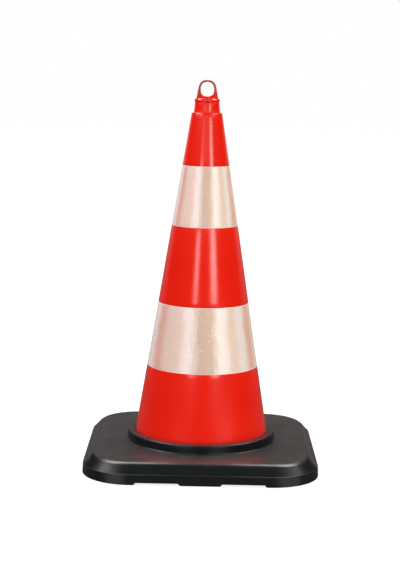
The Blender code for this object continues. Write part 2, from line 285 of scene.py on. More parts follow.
class Wiring:
    """Adds shader nodes to one tree and joins them."""

    def __init__(self, tree: bpy.types.NodeTree) -> None:
        """Keeps the tree that is worked on."""
        self.tree = tree

    def add(self, kind: str, **settings: object) -> bpy.types.Node:
        """Adds a node.

        Args:
            kind: Its kind.
            settings: Properties to set on it.

        Returns:
            The node.
        """
        made = self.tree.nodes.new(kind)
        for key, value in settings.items():
            setattr(made, key, value)
        return made

    def join(self, source: Socket, target: Socket) -> None:
        """Links an output to an input."""
        self.tree.links.new(source, target)

    def feed(self, target: Socket, value: Value) -> None:
        """Links a socket to an input, or sets a plain value on it.

        Args:
            target: The input.
            value: The socket or the plain value.
        """
        if isinstance(value, Socket):
            self.join(value, target)
        else:
            target.default_value = value

    def maths(self, operation: str, *values: Value, clamp: bool = False) -> Socket:
        """Works one sum on its values.

        Args:
            operation: The Math node's operation.
            values: Its inputs, in order.
            clamp: Whether the result is kept between 0 and 1.

        Returns:
            The result.
        """
        node = self.add("ShaderNodeMath", operation=operation, use_clamp=clamp)
        for socket, value in zip(node.inputs, values):
            self.feed(socket, value)
        return node.outputs[0]

    def ramp(self, value: Value, low: float, high: float, start: float, end: float) -> Socket:
        """A smooth step: 3 t^2 - 2 t^3, t being how far a value has gone from low to high.

        Args:
            value: The value.
            low: Where the step begins.
            high: Where it ends.
            start: The result below low.
            end: The result above high.

        Returns:
            The stepped value.
        """
        node = self.add("ShaderNodeMapRange", interpolation_type="SMOOTHSTEP")
        for socket, given in zip(node.inputs[:5], (value, low, high, start, end)):
            self.feed(socket, given)
        return node.outputs[0]

    def blend(self, share: Value, first: Value, second: Value, way: str = "MIX") -> Socket:
        """Mixes two colours.

        Args:
            share: How much of the second there is.
            first: The first colour.
            second: The second one.
            way: The Mix node's blend type.

        Returns:
            The mixed colour.
        """
        node = self.add("ShaderNodeMix", data_type="RGBA", blend_type=way)
        self.feed(node.inputs[0], share)
        self.feed(node.inputs[FIRST_COLOUR], first)
        self.feed(node.inputs[SECOND_COLOUR], second)
        return node.outputs[MIXED_COLOUR]

    def noise(self, where: Value, scale: float, detail: float, rough: float = 0.5) -> Socket:
        """Plain noise, from 0 to 1.

        Args:
            where: The place that it is read at.
            scale: How fine it is.
            detail: How many finer layers it has.
            rough: How strong those are.

        Returns:
            The grey value.
        """
        node = self.add("ShaderNodeTexNoise")
        self.feed(node.inputs["Vector"], where)
        node.inputs["Scale"].default_value = scale
        node.inputs["Detail"].default_value = detail
        node.inputs["Roughness"].default_value = rough
        return node.outputs["Fac"]

    def stops(self, share: Value, colours: list[tuple[float, tuple]]) -> Socket:
        """Runs through a row of colours.

        Args:
            share: How far along the row, from 0 to 1.
            colours: Each colour with its place in the row, in order.

        Returns:
            The colour there.
        """
        node = self.add("ShaderNodeValToRGB")
        marks = node.color_ramp.elements
        while len(marks) < len(colours):
            marks.new(0.5)
        for mark, (place, colour) in zip(marks, colours):
            mark.position = place
            mark.color = colour
        self.feed(node.inputs[0], share)
        return node.outputs[0]

    def stretched(self, where: Value, scale: tuple[float, float, float]) -> Socket:
        """Scales each axis of a place.

        Args:
            where: The place.
            scale: The three factors.

        Returns:
            The scaled place.
        """
        node = self.add("ShaderNodeMapping")
        self.feed(node.inputs["Vector"], where)
        node.inputs["Scale"].default_value = scale
        return node.outputs[0]

    def axes(self, vector: Socket) -> tuple[Socket, ...]:
        """Splits a vector.

        Args:
            vector: The vector.

        Returns:
            Its X, Y and Z.
        """
        node = self.add("ShaderNodeSeparateXYZ")
        self.join(vector, node.inputs[0])
        return tuple(node.outputs)

    def group(self, tree: bpy.types.NodeTree, **values: Value) -> bpy.types.Node:
        """Places a node group.

        Args:
            tree: The group.
            values: Its inputs by name, with underscores for spaces.

        Returns:
            The group's node.
        """
        node = self.add("ShaderNodeGroup", node_tree=tree)
        for key, value in values.items():
            self.feed(node.inputs[key.replace("_", " ")], value)
        return node


def new_group(
    name: str, inputs: dict[str, tuple[str, Value]], outputs: list[str]
) -> tuple[Wiring, bpy.types.Node, bpy.types.Node]:
    """An empty shader node group.

    Args:
        name: The group's name.
        inputs: Each input's name, with its socket type and default.
        outputs: The names of its number outputs.

    Returns:
        The wiring of the group, its input node and its output node.
    """
    tree = bpy.data.node_groups.new(name, "ShaderNodeTree")
    for label, (kind, default) in inputs.items():
        socket = tree.interface.new_socket(name=label, in_out="INPUT", socket_type=kind)
        socket.default_value = default
    for label in outputs:
        tree.interface.new_socket(name=label, in_out="OUTPUT", socket_type="NodeSocketFloat")
    wiring = Wiring(tree)
    return wiring, wiring.add("NodeGroupInput"), wiring.add("NodeGroupOutput")


VECTOR = "NodeSocketVector"
NUMBER = "NodeSocketFloat"
ORIGIN = (0.0, 0.0, 0.0)


def grain_group() -> bpy.types.NodeTree:
    """Moulded grain: fine noise plus a coarser orange peel, as a height from 0 to 1.

    Returns:
        A group with inputs Place, Fine scale, Coarse scale and Coarse share, and the output Height.
    """
    inputs = {
        "Place": (VECTOR, ORIGIN),
        "Fine scale": (NUMBER, 900.0),
        "Coarse scale": (NUMBER, 160.0),
        "Coarse share": (NUMBER, 0.5),
    }
    w, given, result = new_group("moulded grain", inputs, ["Height"])
    heights = []
    for label in ("Fine scale", "Coarse scale"):
        node = w.add("ShaderNodeTexNoise")
        w.join(given.outputs["Place"], node.inputs["Vector"])
        w.join(given.outputs[label], node.inputs["Scale"])
        node.inputs["Detail"].default_value = 3.0
        heights.append(node.outputs["Fac"])
    coarse = w.maths("MULTIPLY", heights[1], given.outputs["Coarse share"])
    fine_share = w.maths("SUBTRACT", 1.0, given.outputs["Coarse share"])
    fine = w.maths("MULTIPLY", heights[0], fine_share)
    w.join(w.maths("ADD", fine, coarse), result.inputs["Height"])
    return w.tree


def mottle_group() -> bpy.types.NodeTree:
    """Uneven colour: a slow cloudy noise with its contrast drawn out, from 0 to 1.

    Returns:
        A group with inputs Place, Scale and Contrast, and the output Mask.
    """
    inputs = {"Place": (VECTOR, ORIGIN), "Scale": (NUMBER, 12.0), "Contrast": (NUMBER, 2.0)}
    w, given, result = new_group("cloudy mottle", inputs, ["Mask"])
    node = w.add("ShaderNodeTexNoise")
    w.join(given.outputs["Place"], node.inputs["Vector"])
    w.join(given.outputs["Scale"], node.inputs["Scale"])
    node.inputs["Detail"].default_value = 5.0
    centred = w.maths("SUBTRACT", node.outputs["Fac"], 0.5)
    drawn = w.maths("MULTIPLY", centred, given.outputs["Contrast"])
    w.join(w.maths("ADD", drawn, 0.5, clamp=True), result.inputs["Mask"])
    return w.tree


def scuff_group() -> bpy.types.NodeTree:
    """Handling marks: thin stretched noise, cut so that only its crests show, and thinned out by patches.

    Returns:
        A group with inputs Place, Scale, Stretch and Amount, and the output Mask.
    """
    inputs = {
        "Place": (VECTOR, ORIGIN),
        "Scale": (NUMBER, 60.0),
        "Stretch": (VECTOR, (1.0, 1.0, 0.06)),
        "Amount": (NUMBER, 0.5),
    }
    w, given, result = new_group("handling scuffs", inputs, ["Mask"])
    longer = w.add("ShaderNodeVectorMath", operation="MULTIPLY")
    w.join(given.outputs["Place"], longer.inputs[0])
    w.join(given.outputs["Stretch"], longer.inputs[1])
    fine = w.add("ShaderNodeTexNoise")
    w.join(longer.outputs[0], fine.inputs["Vector"])
    w.join(given.outputs["Scale"], fine.inputs["Scale"])
    fine.inputs["Detail"].default_value = 4.0
    crests = w.ramp(fine.outputs["Fac"], 0.62, 0.72, 0.0, 1.0)
    patches = w.ramp(w.noise(given.outputs["Place"], 9.0, 2.0), 0.5, 0.7, 0.0, 1.0)
    both = w.maths("MULTIPLY", crests, patches)
    w.join(w.maths("MULTIPLY", both, given.outputs["Amount"], clamp=True), result.inputs["Mask"])
    return w.tree


def dust_and_sheen_group() -> bpy.types.NodeTree:
    """Dust and painted sheen on faces that look up: the normal's height past a limit, broken up by noise.

    Returns:
        A group with inputs Place, Amount and Break up, and the output Mask.
    """
    inputs = {"Place": (VECTOR, ORIGIN), "Amount": (NUMBER, 0.5), "Break up": (NUMBER, 0.3)}
    w, given, result = new_group("settled dust", inputs, ["Mask"])
    geometry = w.add("ShaderNodeNewGeometry")
    level = w.ramp(w.axes(geometry.outputs["Normal"])[2], 0.90, 0.995, 0.0, 1.0)
    cloud = w.ramp(w.noise(given.outputs["Place"], 35.0, 6.0, 0.6), 0.3, 0.7, 0.0, 1.0)
    thinned = w.maths("MULTIPLY", cloud, given.outputs["Break up"])
    kept = w.maths("SUBTRACT", 1.0, thinned)
    dusty = w.maths("MULTIPLY", level, kept)
    w.join(w.maths("MULTIPLY", dusty, given.outputs["Amount"], clamp=True), result.inputs["Mask"])
    return w.tree


def edge_wear_group() -> bpy.types.NodeTree:
    """Rubbed edges: the surface's pointiness past a limit, broken up by noise.

    Returns:
        A group with inputs Place and Amount, and the output Mask.
    """
    inputs = {"Place": (VECTOR, ORIGIN), "Amount": (NUMBER, 0.5)}
    w, given, result = new_group("rubbed edges", inputs, ["Mask"])
    geometry = w.add("ShaderNodeNewGeometry")
    ridge = w.ramp(geometry.outputs["Pointiness"], 0.51, 0.56, 0.0, 1.0)
    cloud = w.ramp(w.noise(given.outputs["Place"], 70.0, 5.0, 0.6), 0.4, 0.65, 0.2, 1.0)
    rubbed = w.maths("MULTIPLY", ridge, cloud)
    w.join(w.maths("MULTIPLY", rubbed, given.outputs["Amount"], clamp=True), result.inputs["Mask"])
    return w.tree


@dataclass(frozen=True)
class Effects:
    """The node groups that several finishes share."""

    grain: bpy.types.NodeTree
    mottle: bpy.types.NodeTree
    scuffs: bpy.types.NodeTree
    dust_and_sheen: bpy.types.NodeTree
    wear: bpy.types.NodeTree

    @classmethod
    def build(cls) -> "Effects":
        """Makes each group once."""
        return cls(grain_group(), mottle_group(), scuff_group(), dust_and_sheen_group(), edge_wear_group())


def blank_finish(name: str) -> tuple[bpy.types.Material, Wiring, bpy.types.Node, Socket]:
    """A material with its Principled shader and the object's own coordinates.

    Args:
        name: The material's name.

    Returns:
        The material, its wiring, its shader and the Object output.
    """
    material = bpy.data.materials.new(name)
    material.use_nodes = True
    w = Wiring(material.node_tree)
    shader = material.node_tree.nodes["Principled BSDF"]
    where = w.add("ShaderNodeTexCoord")
    return material, w, shader, where.outputs["Object"]


def raise_surface(w: Wiring, shader: bpy.types.Node, layers: list[tuple[Value, float, float]]) -> None:
    """Stacks bumps on a shader.

    Args:
        w: The material's wiring.
        shader: Its shader.
        layers: Each bump's height, its distance in metres and its strength.
    """
    normal = None
    for height, distance, strength in layers:
        bump = w.add("ShaderNodeBump")
        bump.inputs["Strength"].default_value = strength
        bump.inputs["Distance"].default_value = distance
        w.feed(bump.inputs["Height"], height)
        if normal is not None:
            w.join(normal, bump.inputs["Normal"])
        normal = bump.outputs["Normal"]
    w.join(normal, shader.inputs["Normal"])


@dataclass(frozen=True)
class MouldedPlastic:
    """Satin moulded plastic in a strong signal red, a little scuffed, and painted darker brown from a height
    upwards as painted shade.
    """

    name: str = "moulded_red_plastic"
    deep: Colour = (0.74, 0.0110, 0.0036, 1.0)
    bright: Colour = (0.78, 0.0160, 0.0044, 1.0)
    scuffed: Colour = (0.80, 0.07, 0.045, 1.0)
    # Painted shade: a dull brown laid over the top of the eye, where its thin loop falls into shade.
    painted_shade_brown: Colour = (0.31, 0.036, 0.025, 1.0)
    shade_from: float = 10.0
    shade_full: float = 11.0
    roughness: float = 0.17
    specular: float = 0.45

    def build(self, effects: Effects) -> bpy.types.Material:
        """Wires the finish.

        Args:
            effects: The shared node groups.

        Returns:
            The material.
        """
        material, w, shader, place = blank_finish(self.name)
        cloud = w.group(effects.mottle, Place=place, Scale=9.0, Contrast=1.6).outputs["Mask"]
        scuffs = w.group(effects.scuffs, Place=place, Scale=55.0, Amount=0.5).outputs["Mask"]
        worn = w.group(effects.wear, Place=place, Amount=0.2).outputs["Mask"]
        red = w.blend(cloud, self.deep, self.bright)
        marks = w.maths("MAXIMUM", w.maths("MULTIPLY", scuffs, 0.35), worn)
        # Painted shade: darker brown from one height upwards, broken up by noise; it also dulls the gloss.
        top_shade = w.ramp(w.axes(place)[2], self.shade_from, self.shade_full, 0.0, 1.0)
        uneven = w.ramp(w.noise(place, 130.0, 3.0), 0.25, 0.6, 0.7, 1.0)
        painted_top_shade = w.maths("MULTIPLY", top_shade, uneven)
        coloured = w.blend(marks, red, self.scuffed)
        w.join(w.blend(painted_top_shade, coloured, self.painted_shade_brown), shader.inputs["Base Color"])
        gloss = w.maths("MULTIPLY_ADD", cloud, 0.06, self.roughness)
        dulled = w.maths("MULTIPLY_ADD", painted_top_shade, 0.15, gloss)
        w.join(w.maths("MULTIPLY_ADD", marks, 0.3, dulled), shader.inputs["Roughness"])
        shader.inputs["Specular IOR Level"].default_value = self.specular
        peel = w.group(effects.grain, Place=place, Fine_scale=1400.0, Coarse_scale=260.0, Coarse_share=0.6)
        raise_surface(w, shader, [(peel.outputs["Height"], 0.00012, 0.5), (scuffs, 0.00005, 0.4)])
        return material


class PaintedReflectionTone(Enum):
    """The four tones of the film's upright stripes of painted reflection."""

    WHITE = (0.92, 0.84, 0.80)
    BEIGE = (0.82, 0.65, 0.55)
    KHAKI = (0.61, 0.46, 0.35)
    ROSE = (0.78, 0.44, 0.34)


# Each stripe of painted reflection in a repeat: where its even part begins and ends, as a share of the
# repeat, and its tone.
PAINTED_REFLECTION_STRIPES = (
    (0.00, 0.04, PaintedReflectionTone.ROSE),
    (0.10, 0.25, PaintedReflectionTone.BEIGE),
    (0.32, 0.36, PaintedReflectionTone.WHITE),
    (0.45, 0.56, PaintedReflectionTone.KHAKI),
    (0.64, 0.70, PaintedReflectionTone.WHITE),
    (0.76, 0.80, PaintedReflectionTone.BEIGE),
    (0.87, 0.92, PaintedReflectionTone.WHITE),
    (0.99, 1.00, PaintedReflectionTone.ROSE),
)


@dataclass(frozen=True)
class PrismaticSheeting:
    """Silvery white reflective film: rows of tiny prisms under a clear face, with a sealed plain border.

    The film's stripes of painted reflection repeat a few times round the sleeve, and the first repeat starts
    at a share of one.
    """

    name: str = "silver_white_sheeting"
    height: float = 0.15
    row: float = 0.0043
    chevron: float = 0.0010
    chevron_width: float = 0.012
    prism: float = 0.0019
    prism_tilt: float = 0.62
    border: float = 0.0015
    blister_share: float = 0.30
    white: Colour = (0.94, 0.79, 0.73, 1.0)
    speck: Colour = (0.88, 0.72, 0.62, 1.0)
    # Painted shade in the grooves between the prisms: this colour is multiplied in to darken them.
    groove: Colour = (0.62, 0.52, 0.42, 1.0)
    # Painted glint: a near-white colour put on the small blisters, which are also raised as bumps.
    blister_glint: Colour = (1.0, 0.97, 0.93, 1.0)
    repeats: float = 3.0
    start: float = 0.3982
    roughness: float = 0.42
    specular: float = 0.4
    sheen: float = 0.65
    sheen_roughness: float = 0.35

    def build(self, effects: Effects) -> bpy.types.Material:
        """Wires the finish.

        Args:
            effects: The shared node groups.

        Returns:
            The material.
        """
        material, w, shader, place = blank_finish(self.name)
        sheet = w.add("ShaderNodeUVMap", uv_map="sheet").outputs[0]
        along, up, _ = w.axes(sheet)
        edge = w.maths("MINIMUM", up, w.maths("SUBTRACT", self.height, up))
        inside = w.ramp(edge, self.border * 0.7, self.border, 0.0, 1.0)
        rows = w.maths("MULTIPLY", self.rows(w, along, up), inside)
        prisms = w.maths("MULTIPLY", self.prisms(w, along, up), inside)
        blisters = self.blisters(w, sheet)
        film = self.colour(w, place, inside)
        # Painted shade: the grooves between rows and prisms are darkened by multiplying in the groove colour.
        grooves = w.maths("MULTIPLY_ADD", rows, 0.30, w.maths("MULTIPLY", prisms, 0.14))
        shaded = w.blend(grooves, film, self.groove, way="MULTIPLY")
        # Painted glint: the blisters are lightened towards near white.
        painted_glint = w.maths("MULTIPLY", blisters, 0.75)
        w.join(w.blend(painted_glint, shaded, self.blister_glint), shader.inputs["Base Color"])
        cloud = w.group(effects.mottle, Place=place, Scale=40.0, Contrast=1.5).outputs["Mask"]
        gloss = w.maths("MULTIPLY_ADD", cloud, 0.10, self.roughness)
        w.join(w.maths("MULTIPLY_ADD", rows, 0.12, gloss), shader.inputs["Roughness"])
        w.join(w.ramp(inside, 0.0, 1.0, 0.04, 0.16), shader.inputs["Metallic"])
        shader.inputs["Specular IOR Level"].default_value = self.specular
        shader.inputs["Sheen Weight"].default_value = self.sheen
        shader.inputs["Sheen Roughness"].default_value = self.sheen_roughness
        grain = w.group(effects.grain, Place=place, Fine_scale=1800.0, Coarse_scale=420.0, Coarse_share=0.5)
        layers = [
            (w.maths("SUBTRACT", 1.0, rows), 0.00012, 0.6),
            (w.maths("SUBTRACT", 1.0, prisms), 0.00006, 0.5),
            (grain.outputs["Height"], 0.00012, 0.5),
            (blisters, 0.0004, 0.8),
        ]
        raise_surface(w, shader, layers)
        return material

    def rows(self, w: Wiring, along: Socket, up: Socket) -> Socket:
        """The grooves between rows of prisms: level lines with a shallow zigzag along them.

        Args:
            w: The material's wiring.
            along: Distance round the sleeve.
            up: Distance up the sleeve.

        Returns:
            1 in a groove and 0 between two.
        """
        zigzag = w.maths("PINGPONG", w.maths("MULTIPLY", along, 1.0 / self.chevron_width), 0.5)
        risen = w.maths("MULTIPLY_ADD", zigzag, 2.0 * self.chevron, up)
        wave = w.maths("PINGPONG", w.maths("MULTIPLY", risen, 1.0 / self.row), 0.5)
        return w.ramp(wave, 0.06, 0.22, 1.0, 0.0)

    def prisms(self, w: Wiring, along: Socket, up: Socket) -> Socket:
        """The edges of the prisms: two families of slanting lines that cross.

        Args:
            w: The material's wiring.
            along: Distance round the sleeve.
            up: Distance up the sleeve.

        Returns:
            1 on an edge and 0 on a face.
        """
        found = []
        for tilt in (self.prism_tilt, -self.prism_tilt):
            across = w.maths("MULTIPLY", along, math.cos(tilt) / self.prism)
            rise = w.maths("MULTIPLY_ADD", up, math.sin(tilt) / self.prism, across)
            found.append(w.ramp(w.maths("PINGPONG", rise, 0.5), 0.05, 0.25, 1.0, 0.0))
        return w.maths("MAXIMUM", *found)

    def blisters(self, w: Wiring, sheet: Socket) -> Socket:
        """A few small round air bubbles under the film.

        Args:
            w: The material's wiring.
            sheet: Distances over the sleeve.

        Returns:
            Their height, from 0 to 1.
        """
        dots = w.add("ShaderNodeTexVoronoi", voronoi_dimensions="2D")
        w.join(sheet, dots.inputs["Vector"])
        dots.inputs["Scale"].default_value = 60.0
        core = w.ramp(dots.outputs["Distance"], 0.03, 0.10, 1.0, 0.0)
        pick = w.add("ShaderNodeSeparateColor")
        w.join(dots.outputs["Color"], pick.inputs[0])
        chosen = w.ramp(pick.outputs[0], 1.0 - self.blister_share, 1.01 - self.blister_share, 0.0, 1.0)
        return w.maths("MULTIPLY", core, chosen)

    def colour(self, w: Wiring, place: Socket, inside: Socket) -> Socket:
        """The film's colour: lighter and duller upright stripes of painted reflection, for the lamps and the
        darker room mirrored in the film, that repeat three times round the sleeve.

        The share of a repeat is the angle round the axis, wavered by a slow noise and a fine upright one.

        Args:
            w: The material's wiring.
            place: The object's own coordinates.
            inside: 0 on the sealed border.

        Returns:
            The colour.
        """
        x, y, _ = w.axes(place)
        angle = w.maths("ARCTAN2", x, w.maths("MULTIPLY", y, -1.0))
        slow = w.maths("MULTIPLY_ADD", w.noise(place, 10.0, 2.0), 0.14, angle)
        upright = w.noise(w.stretched(place, (1.0, 1.0, 0.05)), 210.0, 3.0)
        wavered = w.maths("MULTIPLY_ADD", upright, 0.20, slow)
        repeats = w.maths("MULTIPLY_ADD", wavered, self.repeats / FULL_TURN, self.start)
        share = w.maths("FRACT", repeats)
        # Painted reflection: the stripes stand in for the lamps and the darker room mirrored in the film.
        marks = [(at, (*tone.value, 1.0)) for begin, end, tone in PAINTED_REFLECTION_STRIPES for at in (begin, end)]
        painted_reflections = w.stops(share, marks)
        speck = w.ramp(w.noise(place, 520.0, 2.0), 0.35, 0.7, 0.0, 0.35)
        mixed = w.blend(speck, painted_reflections, self.speck)
        return w.blend(inside, self.white, mixed)


@dataclass(frozen=True)
class MouldedRubber:
    """Black rubber pressed from granules, greyed where it faces up by dust and by painted sheen for the
    room's light mirrored there.
    """

    name: str = "pressed_black_rubber"
    black: Colour = (0.0013, 0.0038, 0.0046, 1.0)
    granule: Colour = (0.0040, 0.0066, 0.0074, 1.0)
    # Grey for faces that look up: part dust, part painted sheen in place of the room's light mirrored at a
    # grazing angle.
    bloom_and_sheen: Colour = (0.067, 0.0610, 0.0600, 1.0)
    crumb_scale: float = 330.0
    roughness: float = 0.27
    specular: float = 0.5

    def build(self, effects: Effects) -> bpy.types.Material:
        """Wires the finish.

        Args:
            effects: The shared node groups.

        Returns:
            The material.
        """
        material, w, shader, place = blank_finish(self.name)
        crumbs = w.add("ShaderNodeTexVoronoi")
        w.join(place, crumbs.inputs["Vector"])
        crumbs.inputs["Scale"].default_value = self.crumb_scale
        pick = w.add("ShaderNodeSeparateColor")
        w.join(crumbs.outputs["Color"], pick.inputs[0])
        speck = w.ramp(pick.outputs[0], 0.55, 1.0, 0.0, 1.0)
        body = w.blend(speck, self.black, self.granule)
        # Up-facing faces are painted lighter grey: dust and painted sheen; scuffs and worn edges grey it as
        # well.
        dust_and_sheen = w.group(effects.dust_and_sheen, Place=place, Amount=0.6, Break_up=0.35).outputs["Mask"]
        scuffs = w.group(effects.scuffs, Place=place, Scale=45.0, Stretch=(1.0, 0.2, 1.0), Amount=0.4)
        worn = w.group(effects.wear, Place=place, Amount=0.25).outputs["Mask"]
        marks = w.maths("MAXIMUM", w.maths("MULTIPLY", scuffs.outputs["Mask"], 0.4), worn)
        greyed = w.maths("MAXIMUM", dust_and_sheen, w.maths("MULTIPLY", marks, 0.5))
        w.join(w.blend(greyed, body, self.bloom_and_sheen), shader.inputs["Base Color"])
        cloud = w.group(effects.mottle, Place=place, Scale=16.0, Contrast=1.8).outputs["Mask"]
        gloss = w.maths("MULTIPLY_ADD", cloud, 0.07, self.roughness)
        w.join(w.maths("MULTIPLY_ADD", greyed, 0.08, gloss), shader.inputs["Roughness"])
        shader.inputs["Specular IOR Level"].default_value = self.specular
        grain = w.group(effects.grain, Place=place, Fine_scale=900.0, Coarse_scale=190.0, Coarse_share=0.45)
        layers = [(crumbs.outputs["Distance"], 0.0002, 0.2), (grain.outputs["Height"], 0.00016, 0.4)]
        raise_surface(w, shader, layers)
        return material


# ---------------------------------------------------------------- the cone's shell


@dataclass
class Taper:
    """The cone's tapered wall, which its sleeves and the base's bore all follow."""

    foot_radius: float = 0.168
    shoulder_radius: float = 0.0356
    shoulder_height: float = 0.8235

    @property
    def slope(self) -> float:
        """Radius lost for each metre up."""
        return (self.foot_radius - self.shoulder_radius) / self.shoulder_height

    def radius(self, height: float | np.ndarray) -> float | np.ndarray:
        """Outer radius at a height: the foot radius less the slope times the height."""
        return self.foot_radius - self.slope * height


@dataclass
class ConeShell:
    """The hollow moulded shell, with its flange, band seats, shoulder and neck."""

    taper: Taper
    finish: bpy.types.Material
    seats: tuple[tuple[float, float], ...]
    wall: float = 0.003
    seat_depth: float = 0.0006
    flange_thickness: float = 0.004
    neck_foot_radius: float = 0.0311
    neck_top_radius: float = 0.0286
    bore_radius: float = 0.0255
    seam_rise: float = 0.00012
    seam_half_width: float = 0.0004
    ripple: float = 0.00004
    columns: int = 288

    def outline(self) -> np.ndarray:
        """The closed outline of the wall's section, as (radius, height), from the flange round to the inside.

        Returns:
            (n, 2) points.
        """
        low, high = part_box("cone_body")
        radius = self.taper.radius
        shoulder = self.taper.shoulder_height
        ceiling = shoulder - self.wall
        corners = [
            (high.x, low.z, 0.0006),
            (high.x, low.z + self.flange_thickness, 0.0012),
            (radius(self.flange_thickness), self.flange_thickness, 0.004),
        ]
        for foot, top in self.seats:
            corners += [
                (radius(foot), foot, 0.0002),
                (radius(foot) - self.seat_depth, foot, 0.0001),
                (radius(top) - self.seat_depth, top, 0.0001),
                (radius(top), top, 0.0002),
            ]
        corners += [
            (self.taper.shoulder_radius, shoulder, 0.0018),
            (self.neck_foot_radius, shoulder, 0.0007),
            (self.neck_top_radius, high.z, 0.0006),
            (self.bore_radius, high.z, 0.0005),
            (self.bore_radius, ceiling, 0.0008),
            (radius(ceiling) - self.wall, ceiling, 0.0015),
            (self.taper.foot_radius - self.wall, low.z, 0.0008),
        ]
        return filled_in(rounded(corners, closed=True), closed=True, longest=0.012)

    def columns_round(self) -> np.ndarray:
        """Angles of the columns: even, with extra ones where the mould's halves met, at +X and -X.

        Returns:
            The angles, in radians.
        """
        even = np.linspace(0.0, FULL_TURN, self.columns, endpoint=False)
        close = np.radians([-0.5, -0.35, -0.2, -0.1, 0.1, 0.2, 0.35, 0.5])
        return np.unique(np.concatenate([even, np.mod(close, FULL_TURN), math.pi + close]))

    def swell(self, outline: np.ndarray, angles: np.ndarray) -> np.ndarray:
        """Small changes of the wall's radius.

        A bell curve of the distance from the mould's parting line raises a thin ridge on the outside, and
        a sum of slow sines round and up the wall makes it very slightly uneven.

        Args:
            outline: The section.
            angles: The columns' angles.

        Returns:
            (columns, n) metres to add to the radius.
        """
        radius, height = outline[:, 0], outline[:, 1]
        outside = radius > self.taper.radius(height) - 0.5 * self.wall
        away = np.abs(np.sin(angles))[:, None] * radius[None, :]
        ridge = self.seam_rise * np.exp(-((away / self.seam_half_width) ** 2))
        broad = np.sin(3.0 * angles[:, None] + 9.0 * height[None, :])
        fine = np.sin(7.0 * angles[:, None] - 14.0 * height[None, :] + 1.3)
        above_flange = smooth_step(0.01, 0.04, height)[None, :]
        return (ridge + self.ripple * (broad + 0.6 * fine)) * outside[None, :] * above_flange

    def build(self) -> bpy.types.Object:
        """Makes the shell and dresses it.

        Returns:
            The shell's object.
        """
        outline = self.outline()
        angles = self.columns_round()
        piece = mesh_object("cone_shell", [turned_grid(outline, angles, self.swell(outline, angles))])
        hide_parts("cone_body")
        return dress(piece, self.finish, Body.CONE, Slot.PLASTIC)


# ---------------------------------------------------------------- the reflective sleeves


@dataclass
class ReflectiveSleeve:
    """A strip of film wrapped round the cone, its two ends lying over each other at the back."""

    name: str
    node: str
    taper: Taper
    finish: bpy.types.Material
    foot: float
    top: float
    seat_depth: float = 0.0006
    glue: float = 0.0002
    film: float = 0.0004
    edge_gap: float = 0.0003
    edge_rounding: float = 0.00012
    overlap: float = 0.018
    lift: float = 0.00045
    ramp: float = 0.004
    pucker: float = 0.00004
    columns: int = 420

    def section(self) -> tuple[np.ndarray, np.ndarray]:
        """The strip's own section, as distance out from the glued face and height, with softened edges.

        Returns:
            Two (n,) arrays that go round the section once.
        """
        low, high = self.foot + self.edge_gap, self.top - self.edge_gap
        corners = [
            (0.0, low, 0.0),
            (self.film, low, self.edge_rounding),
            (self.film, high, self.edge_rounding),
            (0.0, high, 0.0),
        ]
        outline = filled_in(rounded(corners, closed=True, steps=3), closed=True, longest=0.009)
        return outline[:, 0], outline[:, 1]

    def build(self) -> bpy.types.Object:
        """Wraps the strip: its section is carried round the cone and shrinks to nothing at both ends.

        The radius of the glued face is the cone's own less the seat's depth. Near the end of the strip it
        rises by a little more than the film's thickness, so that the end lies on the beginning. Slow sines
        of the angle pucker the film a little.

        Returns:
            The sleeve's object.
        """
        out, height = self.section()
        middle = float(self.taper.radius(0.5 * (self.foot + self.top)))
        half_lap = 0.5 * self.overlap / middle
        start = 0.5 * math.pi - half_lap
        turn = np.linspace(start, start + FULL_TURN + 2.0 * half_lap, self.columns)
        turn = np.concatenate([turn[:1], turn, turn[-1:]])[:, None]
        share = np.ones((len(turn), 1))
        share[[0, -1]] = CLOSED_END
        out = 0.5 * self.film + (out[None, :] - 0.5 * self.film) * share
        centre = 0.5 * (self.foot + self.top)
        height = centre + (height[None, :] - centre) * np.where(share < 1.0, 0.999, 1.0)
        from_end = (turn[-1] - turn) * middle
        over = 1.0 - smooth_step(self.overlap, self.overlap + self.ramp, from_end)
        level = (height - centre) / (self.top - centre)
        pucker = np.sin(11.0 * turn + 2.0 * level) + 0.7 * np.sin(23.0 * turn - 3.0 * level + 0.5)
        radius = self.taper.radius(height) - self.seat_depth + self.glue + out + self.lift * over
        radius = radius + self.pucker * (pucker + 1.7)
        points = np.stack([radius * np.cos(turn), radius * np.sin(turn), height], axis=-1)[:, ::-1]
        sheet = np.zeros((points.shape[0] + 1, points.shape[1] + 1, 2))
        sheet[:-1, :, 0] = (turn - start) * middle
        sheet[:-1, :-1, 1] = (points[:, :, 2] - self.foot) * math.hypot(1.0, self.taper.slope)
        sheet[:, -1] = sheet[:, 0]
        piece = mesh_object(self.name, [Grid(points, loop_across=False, sheet=sheet)])
        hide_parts(self.node)
        return dress(piece, self.finish, Body.CONE, Slot.SHEETING)


# ---------------------------------------------------------------- the eye cap


